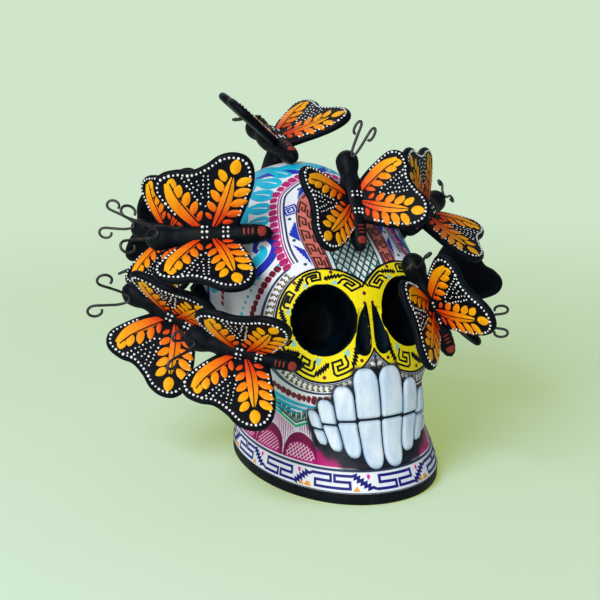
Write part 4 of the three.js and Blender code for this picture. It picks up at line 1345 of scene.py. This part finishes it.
# facing is round and up, lifts and sweeps are the left and the right wing's, and bend is the feelers' forwards
# and aside. height_share and stand are shares of the skull's height and of the body's length.
Butterfly = namedtuple("Butterfly", ["name", "turn", "height_share", "facing", "heading", "lifts", "sweeps",
                                     "bend", "stand", "size", "spread"])
listed_butterflies = [
    Butterfly("right_temple", -73, 0.748, (-29, 29), -94, (34, 38), (0, 0), (0, 0), 0.32, 0.98, 0.8),
    Butterfly("right_rear", -121, 0.7, (-62, 24), -90, (18, 20), (16, 0), (0, 0), 0.3, 0.84, 0.8),
    Butterfly("right_side", -107, 0.532, (-44, -10), -66, (54, 38), (0, 0), (0, 0), 0.42, 0.96, 0.9),
    Butterfly("right_cheek", -41, 0.512, (-34, -3), -78, (50, 42), (0, 0), (-30, 0), 0.36, 0.9, 0.7),
    Butterfly("crown", -166, 0.968, (24, 80), 24, (38, 32), (0, 0), (60, 0), 0.19, 0.96, 0.6),
    Butterfly("forehead", 4, 0.855, (4, 38), 10, (22, 38), (24, 0), (0, 25), 0.2, 0.86, 0.4),
    Butterfly("left_temple", 70, 0.75, (42, 36), 82, (30, 28), (0, 0), (50, 0), 0.24, 0.92, 0.5),
    Butterfly("left_eye", 26, 0.57, (-8, 8), -22, (54, 64), (0, -8), (-30, -10), 0.19, 0.86, 0.5),
    Butterfly("left_side", 76, 0.515, (110, -10), -110, (56, 40), (0, 0), (0, 30), 0.34, 0.92, 0.6),
    Butterfly("right_back", -152, 0.66, (-132, 26), 172, (26, 34), (0, 0), (0, 0), 0.28, 0.9, 0.8),
]

matte_black = paint("butterfly_black", (0.0015, 0.0025, 0.004), (0.004, 0.007, 0.012),
                    rubbed=(0.05, 0.045, 0.045), stroke=200, wash=0.7, relief=0.00018, mirror=0.09)
dot_white = paint("dot_white", (0.84, 0.86, 0.86), (0.6, 0.66, 0.7), rubbed=(0.3, 0.32, 0.35), stroke=600,
                  wash=0.4)
brick_red = paint("brick_red", (0.3, 0.028, 0.018), (0.14, 0.012, 0.01), rubbed=(0.4, 0.15, 0.1), stroke=500)


def butterfly_frame(fly):
    """The butterfly's axes as rows, right, head and up, and its thorax."""
    seat = skull_point(position_at(fly.height_share * skull_height), math.radians(fly.turn))
    level, uphill, up = looking(*(math.radians(angle) for angle in fly.facing))
    head = uphill * math.cos(math.radians(fly.heading)) + level * math.sin(math.radians(fly.heading))
    return np.array([np.cross(head, up), head, up]), seat + up * fly.stand * body_length


butterflies = [(fly, *butterfly_frame(fly)) for fly in listed_butterflies]


def body_radius(share):
    """The body's radius share by the share of the way from tail to head, smoothed between listed rings."""
    fine = smooth([(-0.012, 0.0)] + body_shares + [(1.006, 0.0)], 400)
    return np.interp(share, fine[:, 0], np.maximum(fine[:, 1], 0))


def body_skin(size):
    """The body's rings, with fine creases round its tail half."""
    turn = -full_turn(body_columns)
    rings = []
    for share in np.sin(np.linspace(-math.pi / 2, math.pi / 2, body_rings)) * 0.5 + 0.5:
        reach = max(body_radius(share * 1.012 - 0.008), 0.03) * body_half_width * size
        pinch = 1 - 0.05 * (share < 0.4) * max(math.cos(share * 2 * math.pi * 17), 0) ** 4
        place = (share - thorax_share) * body_length * size
        rings.append(np.column_stack([reach * pinch * np.cos(turn), np.full_like(turn, place),
                                      reach * pinch * np.sin(turn)]))
    return rings


def on_body(share, around, size, lift):
    """A point of the back. share runs from tail to head, and around is in degrees from the spine."""
    share, around = np.broadcast_arrays(np.asarray(share, float), np.radians(np.asarray(around, float)))
    reach = body_radius(share) * body_half_width * size + lift
    along = (share - thorax_share) * body_length * size
    return np.stack([reach * np.sin(around), along, reach * np.cos(around)], -1)


def body_patch(shares, rounds, size, lift):
    """A patch of paint on the back between two places along it and two rounds, with soft corners."""
    a, b = np.meshgrid(np.linspace(-1, 1, 9), np.linspace(-1, 1, 9), indexing="ij")
    a, b = a * np.sqrt(1 - b * b / 2.3), b * np.sqrt(1 - a * a / 2.3)
    share = (shares[0] + shares[1]) / 2 + a * (shares[1] - shares[0]) / 2
    around = (rounds[0] + rounds[1]) / 2 + b * (rounds[1] - rounds[0]) / 2
    return on_body(share, around, size, lift).reshape(-1, 3), grid_faces(9, 9, False)[:, ::-1]


def pedestal_rings(axes, thorax, size, stand):
    """The stub in the butterfly's frame. Its flared foot is laid onto the skull by rays along the stub."""
    turn = -full_turn(28)
    oval_trip = np.column_stack([pedestal_half_width * size * np.cos(turn),
                                 pedestal_half_length * size * np.sin(turn)])
    rings = [np.column_stack([oval_trip * flare, np.full(len(turn), -share * stand)]) @ axes + thorax
             for share, flare in pedestal_flares]
    for flare, sink in foot_flares:
        landed = []
        for start in np.column_stack([oval_trip * flare, np.zeros(len(turn))]) @ axes + thorax:
            place, _, _, gone = skin.ray_cast(Vector(start), Vector(-axes[2]), stand + 14)
            depth = min(gone if place is not None else stand + 3, stand + 12)
            landed.append(start - axes[2] * (depth + sink))
        rings.append(np.array(landed))
    return rings[::-1]


dome = blob("dot", oval_ring(0.5, 0.5, 9)[:, :2], 0.32, 0.1)
bar_lift = 0.12
for fly, axes, thorax in butterflies:
    points, faces = closed_rings(body_skin(fly.size))
    body = mesh_object(f"{fly.name}_body", points @ axes + thorax, faces, matte_black)
    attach(body, "root")
    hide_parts(f"{fly.name}_butterfly_body")

    bars = [body_patch((0.05, 0.115), (-34, 34), fly.size, bar_lift)]
    bars += [body_patch((place, place + 0.013), (-20, 20), fly.size, bar_lift)
             for place in (0.145, 0.178, 0.211)]
    points, faces = joined(bars)
    red = mesh_object(f"{fly.name}_tail_bars", points @ axes + thorax, faces, brick_red)
    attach(red, "root")

    spots = []
    for share in (0.34, 0.376, 0.5, 0.536):
        for around in (-24, 0, 24):
            place, further = (on_body(share, around, fly.size, lift) for lift in (0, 1))
            spots.append((place @ axes + thorax, (further - place) @ axes, axes[1], fly.size * 1.25))
    scattered(f"{fly.name}_thorax_dots", spots, dome, dot_white, uneven=0.25, seed=len(fly.name),
              soot=False)

    points, faces = closed_rings(pedestal_rings(axes, thorax, fly.size, fly.stand * body_length))
    stub = mesh_object(f"{fly.name}_pedestal", points, faces, soot_black)
    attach(stub, "root")
    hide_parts(f"{fly.name}_butterfly_pedestal")

# Feelers
# One piece of thin black steel wire is bent round each head, sits on the clay at its middle, and is curled at
# both ends with pliers.
feeler_reach, wire_diameter, curl_radius, curl_turns = 19, 1.3, 3.6, 0.78
feeler_shares = np.array([(0.1, 0.03, 0.03), (0.22, 0.2, 0.16), (0.3, 0.45, 0.34), (0.36, 0.66, 0.5)])


def wire_material():
    """Black paint that is worn thin in places, with the steel's duller grain under it."""
    material, tree = new_material("painted_wire")
    place = put(tree, "ShaderNodeTexCoord").outputs["Object"]
    noise = put(tree, "ShaderNodeTexNoise", {"Vector": place, "Scale": 700}).outputs["Fac"]
    rough = put(tree, "ShaderNodeMapRange", {"Value": noise, "To Min": 0.25, "To Max": 0.6})
    bump = put(tree, "ShaderNodeBump", {"Height": noise, "Distance": 0.00008})
    fill(tree, tree.nodes["Principled BSDF"], {
        "Base Color": ramp(tree, noise, ((0.45, (0.008, 0.008, 0.01)), (0.75, (0.05, 0.05, 0.055)))),
        "Roughness": rough.outputs["Result"], "Normal": bump.outputs["Normal"]})
    return material


def wire_tree():
    """A node tree that draws a round wire along a line of points."""
    tree = bpy.data.node_groups.new("round_wire", "GeometryNodeTree")
    sockets(tree, [("Path", "Geometry"), ("Diameter", "Float", 0.001), ("Finish", "Material")],
            [("Wire", "Geometry")])
    given = put(tree, "NodeGroupInput").outputs
    line = put(tree, "GeometryNodeMeshToCurve", {"Mesh": given["Path"]})
    ring = put(tree, "GeometryNodeCurvePrimitiveCircle",
               {"Resolution": 10, "Radius": maths(tree, "MULTIPLY", given["Diameter"], 0.5)})
    swept = put(tree, "GeometryNodeCurveToMesh", {
        "Curve": line.outputs["Curve"], "Profile Curve": ring.outputs["Curve"], "Fill Caps": True})
    return finish_tree(tree, swept.outputs["Mesh"], given["Finish"], "Wire")


round_wire, painted_wire = wire_tree(), wire_material()


def feeler_path(fly):
    """The wire's line in the butterfly's frame, from one curl over the head to the other."""
    arm = feeler_shares * feeler_reach * fly.size
    along = (arm[3] - arm[2]) / np.linalg.norm(arm[3] - arm[2])
    inwards = np.array([1, 0, 0]) - along * along[0]
    inwards /= np.linalg.norm(inwards)
    radius = curl_radius * fly.size
    turn = np.linspace(0, curl_turns * 2 * math.pi, 9)[1:, None]
    curl = arm[3] + inwards * radius * (1 - np.cos(turn)) + along * radius * np.sin(turn)
    arm = np.vstack([arm, curl])
    line = np.vstack([arm[::-1] * [-1, 1, 1], [[0, 0, 0]], arm]) * [fly.spread, 1, 1]
    forwards, aside = (-math.radians(angle) for angle in fly.bend)
    foot = [0, (head_share - thorax_share) * body_length * fly.size,
            body_half_width * head_radius_share * fly.size + wire_diameter / 2]
    return smooth(line @ (rotation(0, forwards) @ rotation(2, aside)).T + foot, 110)


for fly, axes, thorax in butterflies:
    line = feeler_path(fly) @ axes + thorax
    mesh = bpy.data.meshes.new(f"{fly.name}_feelers")
    mesh.from_pydata((line * mm).tolist(), [(n, n + 1) for n in range(len(line) - 1)], [])
    wire = bpy.data.objects.new(f"{fly.name}_feelers", mesh)
    scene.collection.objects.link(wire)
    run_tree(wire, round_wire, {"Diameter": wire_diameter * mm, "Finish": painted_wire})
    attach(wire, "root")
    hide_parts(f"{fly.name}_butterfly_feelers")

# Wings
# A wing is a puffy plate of clay, cut to the outline of a fore and a hind wing and painted black. Petals
# shaded from red at the root to yellow at the tip fill it, with white dots of thick paint round the rim.
wing_span, wing_length, wing_thickness, wing_round = 40, 46.6, 5.2, 2.3
wing_shares = np.array([
    (0.04, 0.25), (0.22, 0.4), (0.4, 0.515), (0.575, 0.594), (0.71, 0.575), (0.795, 0.49), (0.825, 0.34),
    (0.81, 0.2), (0.875, 0.05), (0.97, -0.085), (1, -0.225), (0.95, -0.355), (0.825, -0.42), (0.65, -0.418),
    (0.46, -0.365), (0.275, -0.29), (0.06, -0.2)])
paint_allowance = 0.99
wing_line = smooth(wing_shares * [wing_span, wing_length], 150) * paint_allowance
wing_loop = np.vstack([wing_line, resampled([wing_line[-1], wing_line[0]], 18)[1:-1]])
rim_insets, plate_spacing = (0.12, 0.4, 0.85, 1.4, 2.1), 1.7


def inset_from_rim(points):
    """How far inside the wing's rim each point lies."""
    a, b = wing_loop, np.roll(wing_loop, -1, axis=0)
    edge = b - a
    share = np.clip(((points[:, None] - a) * edge).sum(-1) / (edge * edge).sum(-1), 0, 1)
    return np.linalg.norm(points[:, None] - a - edge * share[..., None], axis=-1).min(1)


def wing_height(inset):
    """The plate's upper face over its middle plane, by how far inside the rim it is."""
    full = 1 - (1 - np.clip(inset / wing_round, 0, 1)) ** 2
    return wing_thickness / 2 * (0.79 * np.sqrt(full) + 0.07 * np.clip(inset / 9, 0, 1))


def inwards_of(across):
    """Unit steps to the left of a line's own steps."""
    return np.column_stack([-across[:, 1], across[:, 0]]) / np.linalg.norm(across, axis=1, keepdims=True)


def wing_plate():
    """Points and triangles of the right wing, its upper face first."""
    inward = inwards_of(np.roll(wing_loop, 1, axis=0) - np.roll(wing_loop, -1, axis=0))
    if ((wing_loop.mean(0) - wing_loop) * inward).sum() < 0:
        inward = -inward
    near = np.vstack([wing_loop + inward * inset for inset in rim_insets])
    kept = near[inset_from_rim(near) > np.repeat(rim_insets, len(wing_loop)) * 0.85]
    x, y = np.meshgrid(np.arange(2, wing_span, plate_spacing),
                       np.arange(-wing_length / 2, wing_length * 0.62, plate_spacing))
    field = np.column_stack([x.ravel(), y.ravel()])
    field = field[inset_from_rim(field) > 2.9]
    given = [Vector(p) for p in np.vstack([wing_loop, kept, field]).tolist()]
    count = len(wing_loop)
    flat, _, faces = delaunay_2d_cdt(given, [(n, (n + 1) % count) for n in range(count)], [], 1, 1e-5)[:3]
    flat = np.array([tuple(v) for v in flat])
    inset = inset_from_rim(flat)
    height = np.where(inset < 0.01, 0, wing_height(inset))
    rim = np.flatnonzero(height == 0)
    under_index = np.arange(len(flat)) + len(flat)
    under_index[rim] = rim
    faces = np.array([face for face in faces if len(face) == 3])
    a, b, c = (flat[faces[:, k]] for k in range(3))
    flipped = (b[:, 0] - a[:, 0]) * (c[:, 1] - a[:, 1]) - (b[:, 1] - a[:, 1]) * (c[:, 0] - a[:, 0]) < 0
    faces[flipped] = faces[flipped][:, ::-1]
    top = np.column_stack([flat, height])
    points = np.vstack([top, top * [1, 1, -1]])
    all_faces = np.vstack([faces, under_index[faces][:, ::-1]])
    used = np.unique(all_faces)
    renumbered = np.full(len(points), -1)
    renumbered[used] = np.arange(len(used))
    return points[used], renumbered[all_faces]


def curved_leaf(foot, tip, width, bow=0.0):
    """A petal of the wing, bowed to one side, with rounded ends."""
    foot, tip = np.array(foot, float), np.array(tip, float)
    aside = np.array([foot[1] - tip[1], tip[0] - foot[0]])
    line = smooth([foot, (foot + tip) / 2 + aside * bow, tip], 14)
    return stroke(line, lambda t: width * np.clip(np.sin(math.pi * np.clip(t, 0, 1) ** 0.9), 0, 1) ** 0.6,
                  across=4, rise=0.3)


def long_petal(line, width, reach, start):
    return stroke(line, lambda t: width * np.sin(math.pi * np.clip(t * reach + start, 0, 1)) ** 0.7, across=4,
                  rise=0.3)


# Share along the long petal, length and width of each short one beside it, on the fore and the hind wing.
fore_petals = ((0.1, 5.6, 2.5), (0.26, 7.2, 3.5), (0.45, 7.6, 3.8), (0.66, 7.0, 4.2), (0.86, 5.6, 4.4))
hind_petals = ((0.13, 5.0, 2.3), (0.29, 7.4, 3.4), (0.48, 8.4, 3.7), (0.68, 8.4, 3.9), (0.9, 7.8, 3.9))


def wing_petals():
    """Every petal of the right wing, laid out in the wing's own plane."""
    spindle = smooth([(5.4, 8.2), (12.0, 13.8), (19.2, 19.0), (27.0, 21.4)], 26)
    petals = [long_petal(spindle, 5.8, 0.86, 0.1)]
    for share, length, width in fore_petals:
        foot = spindle[int(share * 25)] + np.array([0.58, -0.81]) * (1.4 + 5.2 * share * (1 - share))
        petals.append(curved_leaf(foot, foot + length * np.array([0.9, -0.44 + 0.3 * share]), width, 0.06))
    quill = smooth([(5.2, 1.2), (12, -3.0), (20, -6.6), (28.5, -9.6)], 26)
    petals.append(long_petal(quill, 5.2, 0.9, 0.06))
    off_quill = np.array([-math.sin(-0.4), math.cos(-0.4)]) * 2.7
    for share, length, width in hind_petals:
        for hand in (-1, 1):
            lean = math.radians(-25 + hand * (62 - 18 * share))
            reach = length * (0.8 if hand > 0 else 1)
            start = quill[int(share * 25)] + off_quill * hand
            tip = start + np.array([math.cos(lean), math.sin(lean)]) * reach
            petals.append(curved_leaf(start, tip, width, -0.05 * hand))
    petals.append(curved_leaf((29.8, -10.2), (36.8, -12.8), 5.0))
    return petals


def wing_veins():
    """Thin black lines that part the long petals down their middle."""
    fore = smooth([(6.6, 7.4), (13.0, 12.2), (20.2, 16.8), (27.0, 19.4)], 30)
    hind = smooth([(4.5, 1.4), (12, -3.0), (20, -6.6), (30, -10.2)], 30)
    return [stroke(fore, 0.65), stroke(hind, 0.5)]


def wing_dots():
    """Places and sizes of the dots round the outer rim and of the small ones between fore and hind wing."""
    row = resampled((wing_line - inwards_of(np.gradient(wing_line, axis=0)) * 2.0)[16:140], 42)
    dots = [(place, 1.35 if n % 2 else 1.1) for n, place in enumerate(row)]
    chance = np.random.default_rng(11)
    for reach in np.arange(4.5, 24, 2.05):
        count = max(1, round(reach * 0.62 / 1.9))
        for angle in np.radians(np.linspace(-5, 31, count) if count > 1 else [13]):
            place = (11, 3) + reach * np.array([math.cos(angle), math.sin(angle)])
            place = place + chance.uniform(-0.2, 0.2, 2)
            if inset_from_rim(place[None])[0] > 3.2:
                dots.append((place, chance.uniform(0.8, 1.1)))
    return dots


def petal_material():
    """Petals are shaded from red at the wing's root to yellow at its tip, with fine darker brush lines."""
    material = paint("petal_shading", (1, 1, 1), (1, 1, 1), rubbed=(0.3, 0.1, 0.02), stroke=520, wash=0.5,
                     mirror=0.15)
    tree = material.node_tree
    glow = put(tree, "ShaderNodeAttribute", attribute_name="glow")
    shaded = ramp(tree, glow.outputs["Fac"], ((0.0, (0.6, 0.025, 0.003)), (0.32, (0.75, 0.06, 0.002)),
                                              (0.62, (0.92, 0.25, 0.002)), (1.0, (0.96, 0.45, 0.002))))
    dark = put(tree, "ShaderNodeMix", {"Factor": 1.0, "A": shaded, "B": (0.72, 0.5, 0.4, 1)},
               data_type="RGBA", blend_type="MULTIPLY")
    fill(tree, tree.nodes["coat"], {"Colour": shaded, "Deep": dark.outputs["Result"]})
    return material


def on_wing(patches, lift):
    """Points and faces of patches of paint on the right wing's upper face."""
    flat, faces = joined(patches)
    rise = np.concatenate([patch[2] for patch in patches])
    points = np.column_stack([flat, wing_height(inset_from_rim(flat)) + lift + rise])
    face_along(points, faces, [0, 0, 1])
    return points, faces


wing_black = paint("wing_black", (0.0012, 0.002, 0.0035), (0.003, 0.006, 0.012), rubbed=(0.05, 0.05, 0.05),
                   stroke=160, wash=0.7, relief=0.00016, mirror=0.08)
petal_paint = petal_material()
plate_points, plate_faces = wing_plate()
petal_points, petal_faces = on_wing(wing_petals(), 0.1)
vein_points, vein_faces = on_wing(wing_veins(), 0.48)
glow_of = np.clip(np.hypot(petal_points[:, 0], petal_points[:, 1] * 0.75) / 27 - 0.08, 0, 1) ** 0.95

dot_places, dot_sizes = zip(*wing_dots())
dot_places = np.array(dot_places)
dot_points = np.column_stack([dot_places, wing_height(inset_from_rim(dot_places)) + 0.02])
nudge = 0.2
slope = np.stack([(wing_height(inset_from_rim(dot_places + step))
                   - wing_height(inset_from_rim(dot_places - step))) / (2 * nudge)
                  for step in nudge * np.eye(2)], -1)
dot_facings = np.column_stack([-slope, np.ones(len(slope))])

for fly, axes, thorax in butterflies:
    for side, word, lift, sweep in zip((-1, 1), ("left", "right"), fly.lifts, fly.sweeps):
        spin = rotation(1, -side * math.radians(lift)) @ rotation(2, -side * math.radians(sweep))

        def placed(points):
            return (points * [side, 1, 1] * fly.size) @ spin.T @ axes + thorax

        plate, petals, veins = (
            mesh_object(f"{fly.name}_{word}_{kind}", placed(points), faces if side > 0 else faces[:, ::-1],
                        finish)
            for kind, points, faces, finish in (("wing", plate_points, plate_faces, wing_black),
                                                ("petals", petal_points, petal_faces, petal_paint),
                                                ("veins", vein_points, vein_faces, wing_black)))
        shade(petals, glow_of, "glow")
        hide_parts(f"{fly.name}_butterfly_{word}_wing")
        for piece in (plate, petals, veins):
            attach(piece, "root")
        places = placed(dot_points)
        spots = [(place, further - place, axes[1], fly.size * share)
                 for place, further, share in zip(places, placed(dot_points + dot_facings), dot_sizes)]
        scattered(f"{fly.name}_{word}_wing_dots", spots, dome, dot_white, uneven=0.15,
                  seed=len(fly.name) + side, soot=False)
